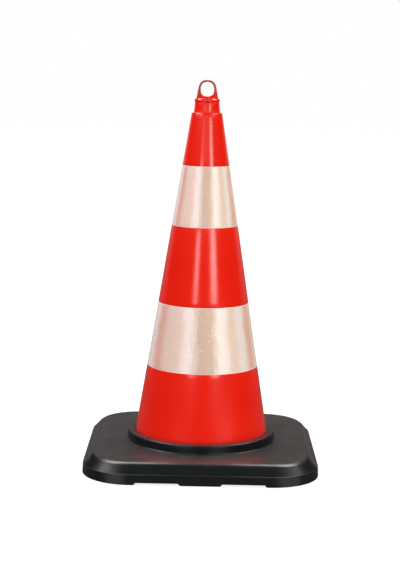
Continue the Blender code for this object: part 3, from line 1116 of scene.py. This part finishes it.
@dataclass
class EyeCap:
    """The carrying eye: a flat loop on a rim, over a slotted plug with barbs."""

    finish: bpy.types.Material
    rim_height: float = 0.0094
    rim_widest: float = 0.0049
    rim_overhang: float = 0.0013
    rim_crown: float = 0.003
    rim_to_hole: float = 0.0049
    neck_radius: float = 0.0286
    plug_radius: float = 0.0252
    plug_wall: float = 0.003
    ceiling: float = 0.8202
    barb_reach: float = 0.0019
    slot: float = 0.004
    slot_top: float = 0.8355
    loop_radius: float = 0.021
    loop_flare: float = math.radians(11.0)
    loop_thickness: float = 0.010
    loop_edge: float = 0.0017
    foot_fillet: float = 0.0035
    loop_sunk: float = 0.002
    hole_width: float = 0.0314
    hole_height: float = 0.0336
    hole_squareness: tuple[float, float] = (2.2, 2.5)
    shoulder: float = 0.045
    strap: float = 0.0045
    pinhole: float = 0.0004
    rim_columns: int = 144
    loop_columns: int = 240

    def __post_init__(self) -> None:
        """Reads where the cap stands from the frame."""
        low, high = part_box("eye_cap")
        self.plug_foot = low.z
        self.top = high.z
        self.rim_top = self.top - self.strap - self.hole_height - self.rim_to_hole
        self.rim_foot = self.rim_top - self.rim_height

    def rim(self) -> Grid:
        """The rim and the unslotted part of the plug, turned about the axis.

        Returns:
            A grid that closes on itself round a pinhole in the middle; it is hollow from below.
        """
        widest = self.neck_radius + self.rim_overhang
        inner = self.plug_radius - self.plug_wall
        corners = [
            (self.pinhole, self.rim_top, 0.0),
            (widest - self.rim_crown, self.rim_top, 0.0016),
            (widest, self.rim_foot + self.rim_widest + 0.0009, 0.0009),
            (widest, self.rim_foot + self.rim_widest - 0.0006, 0.0005),
            (self.neck_radius + 0.0003, self.rim_foot + 0.0028, 0.0009),
            (self.neck_radius + 0.0001, self.rim_foot, 0.0003),
            (self.plug_radius, self.rim_foot, 0.0003),
            (self.plug_radius, self.slot_top - 0.001, 0.0),
            (inner, self.slot_top - 0.001, 0.0),
            (inner, self.rim_top - self.plug_wall, 0.001),
            (self.pinhole, self.rim_top - self.plug_wall, 0.0),
        ]
        outline = filled_in(rounded(corners, closed=True)[::-1], closed=True, longest=0.003)
        return turned_grid(outline, np.linspace(0.0, FULL_TURN, self.rim_columns, endpoint=False))

    def fingers(self) -> list[Grid]:
        """The four springy quarters of the plug, each a section swept over its angle with rounded ends.

        Near both ends of the sweep the section shrinks towards its middle, which closes the quarter.

        Returns:
            One closed grid for each quarter.
        """
        inner = self.plug_radius - self.plug_wall
        barb = self.plug_radius + self.barb_reach
        corners = [
            (self.plug_radius, self.slot_top, 0.0),
            (inner, self.slot_top, 0.0),
            (inner, self.plug_foot, 0.0005),
            (self.plug_radius - 0.0016, self.plug_foot, 0.0005),
            (barb, self.ceiling - 0.0016, 0.0004),
            (barb, self.ceiling, 0.0004),
            (self.plug_radius, self.ceiling, 0.0003),
        ]
        outline = filled_in(rounded(corners, closed=True), closed=True, longest=0.003)
        middle = outline.mean(axis=0)
        half = math.pi / 4.0 - math.asin(0.5 * self.slot / self.plug_radius)
        sweep = np.linspace(-half, half, 25)
        share = np.ones(len(sweep))
        share[[0, -1]] = CLOSED_END
        share[[1, -2]] = 0.96
        sweep[[1, -2]] = sweep[[0, -1]]
        sections = middle + (outline - middle)[None, :, :] * share[:, None, None]
        made = []
        for quarter in range(4):
            turn = (sweep + math.pi / 4.0 + quarter * math.pi / 2.0)[:, None]
            radius = sections[:, :, 0]
            points = np.stack([radius * np.cos(turn), radius * np.sin(turn), sections[:, :, 1]], axis=-1)
            made.append(Grid(points, loop_across=False))
        return made

    def loop_outline(self, turn: np.ndarray) -> tuple[np.ndarray, np.ndarray]:
        """Inner and outer edge of the flat loop, seen from the front, along rays from the hole's middle.

        The inner edge is an ellipse of a power a little over two above and a squarer one below. The outer one
        is a circle over the top, swelled a little at its shoulders, that runs into straight sides, which lean
        outwards, and a level foot in the rim.

        Args:
            turn: The rays' angles.

        Returns:
            Two (n, 2) arrays of (x, z).
        """
        middle = np.array([0.0, self.top - self.strap - 0.5 * self.hole_height])
        above, below = self.hole_squareness
        power = np.where(np.sin(turn) < 0.0, 2.0 / below, 2.0 / above)
        across = 0.5 * self.hole_width * np.sign(np.cos(turn)) * np.abs(np.cos(turn)) ** power
        rise = 0.5 * self.hole_height * np.sign(np.sin(turn)) * np.abs(np.sin(turn)) ** power
        oval = np.stack([across, rise], axis=-1)
        lean = math.degrees(self.loop_flare)
        over = arc((0.0, 0.0), self.loop_radius, lean, 180.0 - lean, 60)
        over *= 1.0 + self.shoulder * np.sin(np.linspace(0.0, FULL_TURN, len(over))[:, None]) ** 2
        over[:, 1] += self.top - self.loop_radius
        foot = self.rim_top - self.loop_sunk
        reach = over[0, 0] + (over[0, 1] - foot) * math.tan(self.loop_flare)
        right = np.array([(reach, foot), over[0]])
        left = right[::-1] * np.array([-1.0, 1.0])
        outer = np.concatenate([right[:1], over, left[1:]])
        outer = filled_in(outer, closed=True, longest=0.0005) - middle
        angle = np.unwrap(np.arctan2(outer[:, 1], outer[:, 0]))
        distance = np.hypot(outer[:, 0], outer[:, 1])
        inner_angle = np.arctan2(oval[:, 1], oval[:, 0])
        order = np.argsort(np.mod(angle, FULL_TURN))
        known, wanted = np.mod(angle, FULL_TURN)[order], np.mod(inner_angle, FULL_TURN)
        reach_there = np.interp(wanted, known, distance[order], period=FULL_TURN)
        edge = np.stack([np.cos(inner_angle), np.sin(inner_angle)], axis=-1) * reach_there[:, None]
        return oval + middle, edge + middle

    def loop(self) -> Grid:
        """The flat loop: a rounded rectangular section carried round the hole.

        The section spans from the inner to the outer edge. Its four corners are arcs of one radius, and
        its faces grow thicker in a quarter-round fillet where they reach the rim.

        Returns:
            The closed grid.
        """
        turn = np.linspace(0.0, FULL_TURN, self.loop_columns, endpoint=False)
        inner, outer = self.loop_outline(turn)
        corner = np.radians(np.linspace(0.0, 90.0, 6))
        face = np.linspace(1.0, -1.0, 10)[1:-1]
        blank = np.zeros(len(face))
        ones = np.ones(len(corner))
        side = np.concatenate([ones, face, -ones, -ones, -face, ones])
        front = np.concatenate([ones, blank + 1.0, ones, -ones, blank - 1.0, -ones])
        starts = [0.0, 90.0, 180.0, 270.0]
        cos = [np.cos(corner + math.radians(start)) for start in starts]
        sin = [np.sin(corner + math.radians(start)) for start in starts]
        bend_x = np.concatenate([cos[0], blank, cos[1], cos[2], blank, cos[3]])
        bend_y = np.concatenate([sin[0], blank + 1.0, sin[1], sin[2], blank - 1.0, sin[3]])
        width = np.linalg.norm(outer - inner, axis=1)[:, None]
        edge = self.loop_edge
        across = side[None, :] * (0.5 * width - edge) + edge * bend_x[None, :]
        share = 0.5 + across / width
        flat = inner[:, None, :] + (outer - inner)[:, None, :] * share[:, :, None]
        depth = front[None, :] * (0.5 * self.loop_thickness - edge) + edge * bend_y[None, :]
        near = np.clip(1.0 - (flat[:, :, 1] - self.rim_top) / self.foot_fillet, 0.0, 1.0)
        grown = self.foot_fillet * (1.0 - np.sqrt(1.0 - near**2))
        depth = np.broadcast_to(depth, flat.shape[:2]) + np.sign(depth) * grown
        points = np.stack([flat[:, :, 0], depth, flat[:, :, 1]], axis=-1)
        return Grid(points)

    def build(self) -> bpy.types.Object:
        """Makes the cap and dresses it.

        Returns:
            The cap's object.
        """
        piece = mesh_object("carrying_eye", [self.rim(), self.loop(), *self.fingers()])
        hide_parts("eye_cap")
        return dress(piece, self.finish, Body.EYE, Slot.PLASTIC)


# ---------------------------------------------------------------- the rubber base


@dataclass
class RubberBase:
    """The moulded weight: lip, skirt, plate, collar and bore, hollow and ribbed below."""

    taper: Taper
    finish: bpy.types.Material
    corner_radius: float = 0.115
    lip_height: float = 0.024
    lip_ledge: float = 0.002
    skirt_top_inset: float = 0.017
    skirt_top: float = 0.040
    plate: float = 0.047
    plate_inset: float = 0.036
    collar_width: float = 0.0194
    fit_gap: float = 0.0003
    seat: float = 0.0043
    bore_lead: float = 0.006
    seat_ring_radius: float = 0.207
    skirt_wall: float = 0.014
    plate_thickness: float = 0.012
    rib_thickness: float = 0.008
    rib_spaces: int = 6
    foot_height: float = 0.005
    centre_foot: float = 0.090
    notch: float = 0.105
    step: float = 0.0034
    draft: float = 0.045
    rib_bite: float = 0.002
    dimple_depth: float = 0.0007
    dimple_height: float = 0.0115
    dimple_half_width: float = 0.0055
    dimple_half_height: float = 0.0045

    def __post_init__(self) -> None:
        """Reads the base's outer size from the frame."""
        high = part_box("base")[1]
        self.half_side = high.x
        self.collar_top = high.z
        self.ceiling = self.plate - self.plate_thickness
        self.collar_radius = float(self.taper.radius(self.collar_top)) + self.fit_gap + self.collar_width
        self.ends = 0.5 * self.centre_foot + np.array([0.0, 1.0, -1.0, 0.0]) * self.foot_height
        self.ends[2:] += self.notch

    @property
    def skirt_slope(self) -> float:
        """How far the skirt leans in for each metre up."""
        return (self.skirt_top_inset - self.lip_ledge) / (self.skirt_top - self.lip_height)

    def edge(self) -> tuple[np.ndarray, np.ndarray, np.ndarray]:
        """The outer edge of the base: straight sides joined by quarter circles.

        Returns:
            (n, 2) points, (n, 2) directions inwards, and each point's distance from the middle of its
            side, which on a corner is set to half the side.
        """
        centre = self.half_side - self.corner_radius
        even = np.linspace(-centre, centre, round(2.0 * centre / self.step) + 1)
        along = np.unique(np.round(np.concatenate([even, self.ends, -self.ends]), 6))
        turns = np.linspace(0.0, 0.5 * math.pi, 33)[1:-1]
        places, inwards, offsets = [], [], []
        for quarter in range(4):
            turn = 0.5 * math.pi * quarter
            side = np.stack([np.full(len(along), self.half_side), along], axis=-1)
            side_in = np.stack([np.full(len(along), -1.0), np.zeros(len(along))], axis=-1)
            corner_out = np.stack([np.cos(turns), np.sin(turns)], axis=-1)
            corner = centre + self.corner_radius * corner_out
            spin = np.array([[math.cos(turn), math.sin(turn)], [-math.sin(turn), math.cos(turn)]])
            places.append(np.concatenate([side, corner]) @ spin)
            inwards.append(np.concatenate([side_in, -corner_out]) @ spin)
            offsets.append(np.concatenate([along, np.full(len(turns), self.half_side)]))
        return np.concatenate(places), np.concatenate(inwards), np.concatenate(offsets)

    def notch_rise(self, offset: np.ndarray) -> np.ndarray:
        """Height of the arches under the edge: a ramp at 45 degrees to the foot's height, and down again.

        Args:
            offset: Distance of each edge point from the middle of its side.

        Returns:
            How far each point's foot is lifted.
        """
        away = np.abs(offset)
        start = 0.5 * self.centre_foot
        ramp = np.minimum(away - start, start + self.notch - away)
        return np.clip(ramp, 0.0, self.foot_height)

    def outer_stations(self) -> np.ndarray:
        """The section from the plate's edge down the skirt and lip to the foot, as (inset, height).

        The broad rounding is a quadratic curve whose middle point lies where skirt and plate would meet.

        Returns:
            (n, 2) points.
        """
        knee = self.skirt_top_inset + self.skirt_slope * (self.plate - self.skirt_top)
        t = np.linspace(0.0, 1.0, 11)[:, None]
        first = np.array((self.plate_inset, self.plate))
        middle = np.array((knee, self.plate))
        last = np.array((self.skirt_top_inset, self.skirt_top))
        curve = (1.0 - t) ** 2 * first + 2.0 * t * (1.0 - t) * middle + t**2 * last
        lip = [
            (self.skirt_top_inset, self.skirt_top, 0.0),
            (self.lip_ledge + 0.0004, self.lip_height + 0.0003, 0.0008),
            (self.lip_ledge + 0.0001, self.lip_height, 0.0),
            (self.draft * self.lip_height, self.lip_height, 0.0009),
            (0.0, 0.0, 0.0015),
            (self.skirt_wall, 0.0, 0.001),
            (self.skirt_wall, 0.004, 0.0),
        ]
        down = filled_in(rounded(lip, closed=False), closed=False, longest=0.004)
        return np.concatenate([curve, down[1:]])

    def inner_stations(self) -> np.ndarray:
        """The section up the inside of the skirt to the pocket's ceiling, as (inset, height).

        Returns:
            (n, 2) points.
        """
        bend = self.lip_height - self.plate_thickness
        top_inset = self.skirt_wall + self.skirt_slope * (self.ceiling - bend)
        corners = [
            (self.skirt_wall, 0.004, 0.0),
            (self.skirt_wall, bend, 0.004),
            (top_inset, self.ceiling, 0.004),
            (top_inset + 0.008, self.ceiling, 0.0),
        ]
        return filled_in(rounded(corners, closed=False), closed=False, longest=0.005)[1:]

    def round_stations(self) -> np.ndarray:
        """The section from the seat ring up the bore and over the collar to its foot, as (radius, height).

        Returns:
            (n, 2) points.
        """
        lead_top = self.seat + self.bore_lead
        bore_foot = float(self.taper.radius(lead_top)) + self.fit_gap
        bore_top = float(self.taper.radius(self.collar_top)) + self.fit_gap
        corners = [
            (self.seat_ring_radius + 0.004, self.ceiling, 0.0),
            (self.seat_ring_radius, self.ceiling, 0.003),
            (self.seat_ring_radius, self.seat, 0.0008),
            (bore_foot + self.bore_lead, self.seat, 0.0006),
            (bore_foot, lead_top, 0.002),
            (bore_top, self.collar_top, 0.0008),
            (self.collar_radius - self.draft * (self.collar_top - self.plate), self.collar_top, 0.0016),
            (self.collar_radius, self.plate, 0.0022),
            (self.collar_radius + 0.004, self.plate, 0.0),
        ]
        return filled_in(rounded(corners, closed=False, steps=5), closed=False, longest=0.006)

    def body(self) -> Grid:
        """The moulding without its ribs: one closed ring of stations carried round the edge.

        On the outer part a point is the edge moved inwards by the station's inset. On the inner part it
        lies on a circle, at the angle of its edge point. Flat stretches between the two are straight
        blends. The arches lift the foot, and the lift fades to nothing at the top of the lip.

        Returns:
            The closed grid.
        """
        edge, inwards, offset = self.edge()
        rise = self.notch_rise(offset)[:, None]
        outer, inner, ring = self.outer_stations(), self.inner_stations(), self.round_stations()
        squares = np.concatenate([outer, inner])
        flat = edge[:, None, :] + inwards[:, None, :] * squares[None, :, :1]
        fade_height = np.where(np.arange(len(squares)) < len(outer), self.lip_height, self.ceiling)
        fade = np.clip(1.0 - squares[:, 1] / fade_height, 0.0, 1.0)[None, :]
        heights = squares[None, :, 1] + rise * fade
        dimple = self.dimples(offset, squares, len(outer))
        flat = flat + inwards[:, None, :] * dimple[:, :, None]
        direction = edge / np.linalg.norm(edge, axis=1)[:, None]
        circles = direction[:, None, :] * ring[None, :, :1]
        circle_heights = np.broadcast_to(ring[None, :, 1], circles.shape[:2])
        share = np.linspace(0.0, 1.0, 8)[1:-1][None, :, None]
        below = flat[:, -1:, :] * (1.0 - share) + circles[:, :1, :] * share
        plate_share = np.linspace(0.0, 1.0, 14)[1:-1][None, :, None]
        above = circles[:, -1:, :] * (1.0 - plate_share) + flat[:, :1, :] * plate_share
        below_heights = np.full(below.shape[:2], self.ceiling)
        above_heights = np.full(above.shape[:2], self.plate)
        plan = np.concatenate([flat, below, circles, above], axis=1)
        height = np.concatenate([heights, below_heights, circle_heights, above_heights], axis=1)
        points = np.concatenate([plan, height[:, :, None]], axis=2)
        return Grid(points[:, ::-1])

    def dimples(self, offset: np.ndarray, stations: np.ndarray, outer_count: int) -> np.ndarray:
        """Small hollows in the lip, one over the middle of each arch, as metres inwards.

        Args:
            offset: Distance of each edge point from the middle of its side.
            stations: The (inset, height) stations.
            outer_count: How many of them lie on the outside.

        Returns:
            (edge points, stations) metres.
        """
        middle = 0.5 * (self.centre_foot + self.notch)
        sideways = (np.abs(offset) - middle) / self.dimple_half_width
        upright = (stations[:, 1] - self.dimple_height) / self.dimple_half_height
        near = 1.0 - sideways[:, None] ** 2 - upright[None, :] ** 2
        outside = (np.arange(len(stations)) < outer_count) & (stations[:, 0] < 0.001)
        return self.dimple_depth * smooth_step(0.0, 0.7, near) * outside[None, :]

    def ribs(self) -> list[Grid]:
        """The straight ribs under the plate, on a square pattern, from the seat ring out to the skirt.

        Each is a rounded bar whose ends shrink to close it, sunk a little into ring, skirt and plate.

        Returns:
            One closed grid for each rib.
        """
        width = 2.0 * (self.half_side - self.skirt_wall)
        centre = self.half_side - self.corner_radius
        inner_corner = self.corner_radius - self.skirt_wall
        made = []
        for number in range(1, self.rib_spaces):
            place = -0.5 * width + width * number / self.rib_spaces
            start = math.sqrt(self.seat_ring_radius**2 - place**2) - self.rib_bite
            past = max(0.0, abs(place) - centre)
            end = centre + math.sqrt(inner_corner**2 - past**2) + self.rib_bite
            made += [self.bar(place, start, end, 0.5 * math.pi * turn) for turn in range(4)]
        return made

    def bar(self, place: float, start: float, end: float, turn: float) -> Grid:
        """One rib as a closed grid.

        Args:
            place: Its distance from the base's middle line.
            start: Where it leaves the seat ring.
            end: Where it meets the skirt.
            turn: The side of the base, as an angle.

        Returns:
            The grid.
        """
        half = 0.5 * self.rib_thickness
        corners = [
            (half + 0.0006, self.ceiling + 0.002, 0.0),
            (half + 0.0006, self.ceiling - 0.001, 0.0),
            (half - 0.0006, self.foot_height, 0.0014),
            (0.0006 - half, self.foot_height, 0.0014),
            (-half - 0.0006, self.ceiling - 0.001, 0.0),
            (-half - 0.0006, self.ceiling + 0.002, 0.0),
        ]
        outline = filled_in(rounded(corners, closed=True), closed=True, longest=0.006)
        middle = outline.mean(axis=0)
        part = np.linspace(0.0, 1.0, 12)
        part[[1, -2]] = part[[0, -1]]
        share = np.ones(len(part))
        share[[0, -1]] = CLOSED_END
        section = middle + (outline - middle)[None, :, :] * share[:, None, None]
        bend = self.lip_height - self.plate_thickness
        cut_back = self.skirt_slope * np.clip(section[:, :, 1] - bend, 0.0, None)
        x = section[:, :, 0] + place
        y = -(start + (end - cut_back - start) * part[:, None])
        points = np.stack(
            [
                x * math.cos(turn) - y * math.sin(turn),
                x * math.sin(turn) + y * math.cos(turn),
                section[:, :, 1],
            ],
            axis=-1,
        )
        return Grid(points[:, ::-1], loop_across=False)

    def build(self) -> bpy.types.Object:
        """Makes the base and dresses it.

        Returns:
            The base's object.
        """
        piece = mesh_object("rubber_base", [self.body(), *self.ribs()])
        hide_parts("base")
        return dress(piece, self.finish, Body.BASE, Slot.RUBBER)


# ---------------------------------------------------------------- studio


@dataclass(frozen=True)
class SoftBox:
    """A rectangular studio light that faces a point on the cone's axis."""

    name: str
    azimuth: float
    distance: float
    height: float
    size: tuple[float, float]
    power: float
    colour: tuple[float, float, float]
    aim: float = 0.45

    def build(self) -> bpy.types.Object:
        """Hangs the light.

        Returns:
            The light's object.
        """
        data = bpy.data.lights.new(self.name, "AREA")
        data.shape = "RECTANGLE"
        data.size, data.size_y = self.size
        data.energy = self.power
        data.color = self.colour
        lamp = bpy.data.objects.new(self.name, data)
        turn = math.radians(self.azimuth)
        place = Vector((self.distance * math.sin(turn), -self.distance * math.cos(turn), self.height))
        aim = Vector((0.0, 0.0, self.aim))
        lamp.location = place
        lamp.rotation_euler = (aim - place).to_track_quat("-Z", "Y").to_euler()
        lamp.visible_camera = False
        bpy.context.scene.collection.objects.link(lamp)
        return lamp


@dataclass(frozen=True)
class Studio:
    """Pale floor, soft lights, surroundings and camera."""

    distance: float = 3.413
    eye_height: float = 0.9229
    pitch: float = 8.45
    yaw: float = -0.15
    roll: float = 1.064
    focal: float = 91.446
    sensor: float = 36.0
    floor_side: float = 40.0
    floor_drop: float = 0.0005
    white: Colour = (1.0, 1.0, 1.0, 1.0)
    room: Colour = (0.025, 0.026, 0.028, 1.0)
    far_wall: Colour = (0.05, 0.046, 0.046, 1.0)
    horizon: Colour = (0.64, 0.50, 0.48, 1.0)
    left_ring: Colour = (1.10, 0.93, 1.00, 1.0)
    right_ring: Colour = (0.98, 0.94, 0.80, 1.0)
    mirrored_floor: Colour = (0.07, 0.07, 0.07, 1.0)
    seen_floor: Colour = (0.30, 0.30, 0.30, 1.0)

    def camera(self) -> bpy.types.Object:
        """Places the camera: it stands back along -Y, looks a little down and is rolled slightly.

        Returns:
            The camera's object.
        """
        data = bpy.data.cameras.new("camera")
        data.lens = self.focal
        data.sensor_width = self.sensor
        data.dof.use_dof = False
        data.clip_end = 100.0
        yaw, pitch, roll = (math.radians(angle) for angle in (self.yaw, self.pitch, self.roll))
        ahead = Vector((math.sin(yaw) * math.cos(pitch), math.cos(yaw) * math.cos(pitch), -math.sin(pitch)))
        level = Vector((math.cos(yaw), -math.sin(yaw), 0.0))
        above = level.cross(ahead)
        right = math.cos(roll) * level + math.sin(roll) * above
        up = math.cos(roll) * above - math.sin(roll) * level
        turn = Matrix((right, up, -ahead)).transposed().to_4x4()
        camera = bpy.data.objects.new("camera", data)
        camera.matrix_world = Matrix.Translation((0.0, -self.distance, self.eye_height)) @ turn
        bpy.context.scene.collection.objects.link(camera)
        bpy.context.scene.camera = camera
        return camera

    def surroundings(self) -> None:
        """A plain white sky to the eye, which the pieces mirror as a dim room.

        The room has a far wall with a bright strip at the horizon, and a ring of light round its front half,
        tinted from left to right and weaker straight ahead.
        """
        world = bpy.data.worlds.new("studio")
        bpy.context.scene.world = world
        world.use_nodes = True
        w = Wiring(world.node_tree)
        backdrop = world.node_tree.nodes["Background"]
        where = w.add("ShaderNodeTexCoord")
        x, y, z = w.axes(where.outputs["Generated"])
        far = w.ramp(y, 0.35, 0.85, 0.0, 1.0)
        horizon = w.maths("MULTIPLY", far, w.ramp(z, 0.06, 0.15, 1.0, 0.0))
        wall = w.maths("MULTIPLY", far, w.ramp(z, 0.20, 0.34, 1.0, 0.0))
        dim = w.blend(horizon, w.blend(wall, self.room, self.far_wall), self.horizon)
        ring = w.blend(w.ramp(x, -0.8, 0.8, 0.0, 1.0), self.left_ring, self.right_ring)
        height = w.maths("MULTIPLY", w.ramp(z, 0.34, 0.42, 0.0, 1.0), w.ramp(z, 0.54, 0.64, 1.0, 0.0))
        ahead = w.ramp(y, 0.05, 0.30, 1.0, 0.0)
        sideways = w.ramp(y, -0.85, -0.55, 0.25, 1.0)
        band = w.maths("MULTIPLY", height, w.maths("MULTIPLY", ahead, sideways))
        glow = w.blend(band, dim, ring)
        path = w.add("ShaderNodeLightPath")
        w.join(w.blend(path.outputs["Is Camera Ray"], glow, self.white), backdrop.inputs["Color"])

    def floor(self) -> bpy.types.Object:
        """A large pale floor that is white to the eye, darkens a little in shade, and is clear from below.

        The pieces mirror it as a dark floor with a faint sheen far behind the object.

        Returns:
            The floor's object.
        """
        half = 0.5 * self.floor_side
        across, along = np.meshgrid([-half, half], [-half, half], indexing="ij")
        place = np.stack([across, along, np.full_like(across, -self.floor_drop)], axis=-1)
        floor = mesh_object("studio_floor", [Grid(place, loop_across=False, loop_along=False)])
        material, w, shader, where = blank_finish("pale_floor")
        eye = w.add("ShaderNodeLightPath").outputs["Is Camera Ray"]
        w.join(w.blend(eye, self.mirrored_floor, self.seen_floor), shader.inputs["Base Color"])
        shader.inputs["Roughness"].default_value = 0.9
        shader.inputs["Specular IOR Level"].default_value = 0.0
        shader.inputs["Emission Color"].default_value = self.white
        reach = w.add("ShaderNodeVectorMath", operation="LENGTH")
        w.join(where, reach.inputs[0])
        glow = w.ramp(reach.outputs["Value"], 0.35, 1.3, 0.82, 1.0)
        sheen = w.ramp(w.axes(where)[1], 1.0, 3.0, 0.0, 0.16)
        strength = w.maths("MULTIPLY_ADD", eye, w.maths("SUBTRACT", glow, sheen), sheen)
        w.join(strength, shader.inputs["Emission Strength"])
        clear = w.add("ShaderNodeBsdfTransparent")
        sides = w.add("ShaderNodeMixShader")
        w.join(w.add("ShaderNodeNewGeometry").outputs["Backfacing"], sides.inputs[0])
        w.join(shader.outputs[0], sides.inputs[1])
        w.join(clear.outputs[0], sides.inputs[2])
        w.join(sides.outputs[0], material.node_tree.nodes["Material Output"].inputs["Surface"])
        floor.data.materials.append(material)
        floor.visible_shadow = False
        return floor

    def lights(self) -> None:
        """Hangs every light.

        Upright strips and a dim panel stand in front, low boxes lie below the floor, which casts no shadow,
        a large box stands at each side, three hang high behind, and one lights the underside.
        """
        warm, cool, plain = (1.0, 0.98, 0.84), (1.0, 0.86, 0.92), (1.0, 0.97, 0.95)
        boxes = [
            SoftBox("right_strip", 27.2, 2.6, 1.17, (0.70, 0.88), 21.0, (1.0, 0.96, 0.93), 1.17),
            SoftBox("right_strip_foot", 27.2, 2.6, 0.93, (0.52, 0.36), 3.0, (1.0, 0.96, 0.95), 0.93),
            SoftBox("left_strip", -20.7, 2.6, 1.00, (0.46, 0.54), 8.0, (1.0, 0.94, 0.95), 1.00),
            SoftBox("front_panel", -9.0, 2.7, 1.60, (2.0, 0.6), 3.6, plain, 1.60),
            SoftBox("low_front", 2.0, 2.6, -0.30, (1.6, 0.30), 1.3, (0.82, 0.98, 1.0), 0.0),
            SoftBox("low_right", 46.0, 2.6, -0.38, (0.90, 0.30), 22.0, plain, 0.0),
            SoftBox("low_left", -38.0, 2.6, -0.38, (1.00, 0.30), 12.0, plain, 0.0),
            SoftBox("left", -66.0, 2.6, 2.36, (2.9, 1.1), 53.0, cool, 0.35),
            SoftBox("right", 66.0, 2.6, 2.36, (2.9, 1.1), 27.0, warm, 0.35),
            SoftBox("back_left", -125.0, 2.0, 3.4, (1.8, 1.2), 72.0, plain, 0.35),
            SoftBox("back_right", 125.0, 2.0, 3.4, (1.8, 1.2), 66.0, plain, 0.35),
            SoftBox("back", 180.0, 1.8, 3.3, (2.6, 1.0), 66.0, plain, 0.45),
            SoftBox("from_below", 0.0, 0.01, -0.8, (0.9, 0.9), 14.0, plain, 0.0),
        ]
        for box in boxes:
            box.build()

    def build(self) -> None:
        """Sets up the whole studio."""
        self.camera()
        self.surroundings()
        self.floor()
        self.lights()
        scene = bpy.context.scene
        scene.view_settings.view_transform = "Standard"
        scene.view_settings.look = "None"


def main() -> None:
    """Builds the studio and every piece of the cone, in order."""
    logging.basicConfig(level=logging.INFO, format="%(name)s: %(message)s")
    Studio().build()
    effects = Effects.build()
    plastic = MouldedPlastic().build(effects)
    rubber = MouldedRubber().build(effects)
    taper = Taper()
    lower, upper = (0.225, 0.3775), (0.560, 0.7015)
    ConeShell(taper, plastic, (lower, upper)).build()
    for label, node, (foot, top), chevron, blisters in (
        ("lower_sleeve", "lower_reflective_band", lower, 0.0003, 0.30),
        ("upper_sleeve", "upper_reflective_band", upper, 0.0014, 0.05),
    ):
        slant = (top - foot) * math.hypot(1.0, taper.slope)
        film = PrismaticSheeting(
            f"silver_white_sheeting_{label}", slant, chevron=chevron, blister_share=blisters
        ).build(effects)
        ReflectiveSleeve(label, node, taper, film, foot, top).build()
    # The eye's plastic is painted darker brown towards its top as painted shade.
    top_shade = MouldedPlastic(name="top_shaded_red_plastic", shade_from=0.858, shade_full=0.876).build(effects)
    EyeCap(top_shade).build()
    RubberBase(taper, rubber).build()


if __name__ == "__main__":
    main()
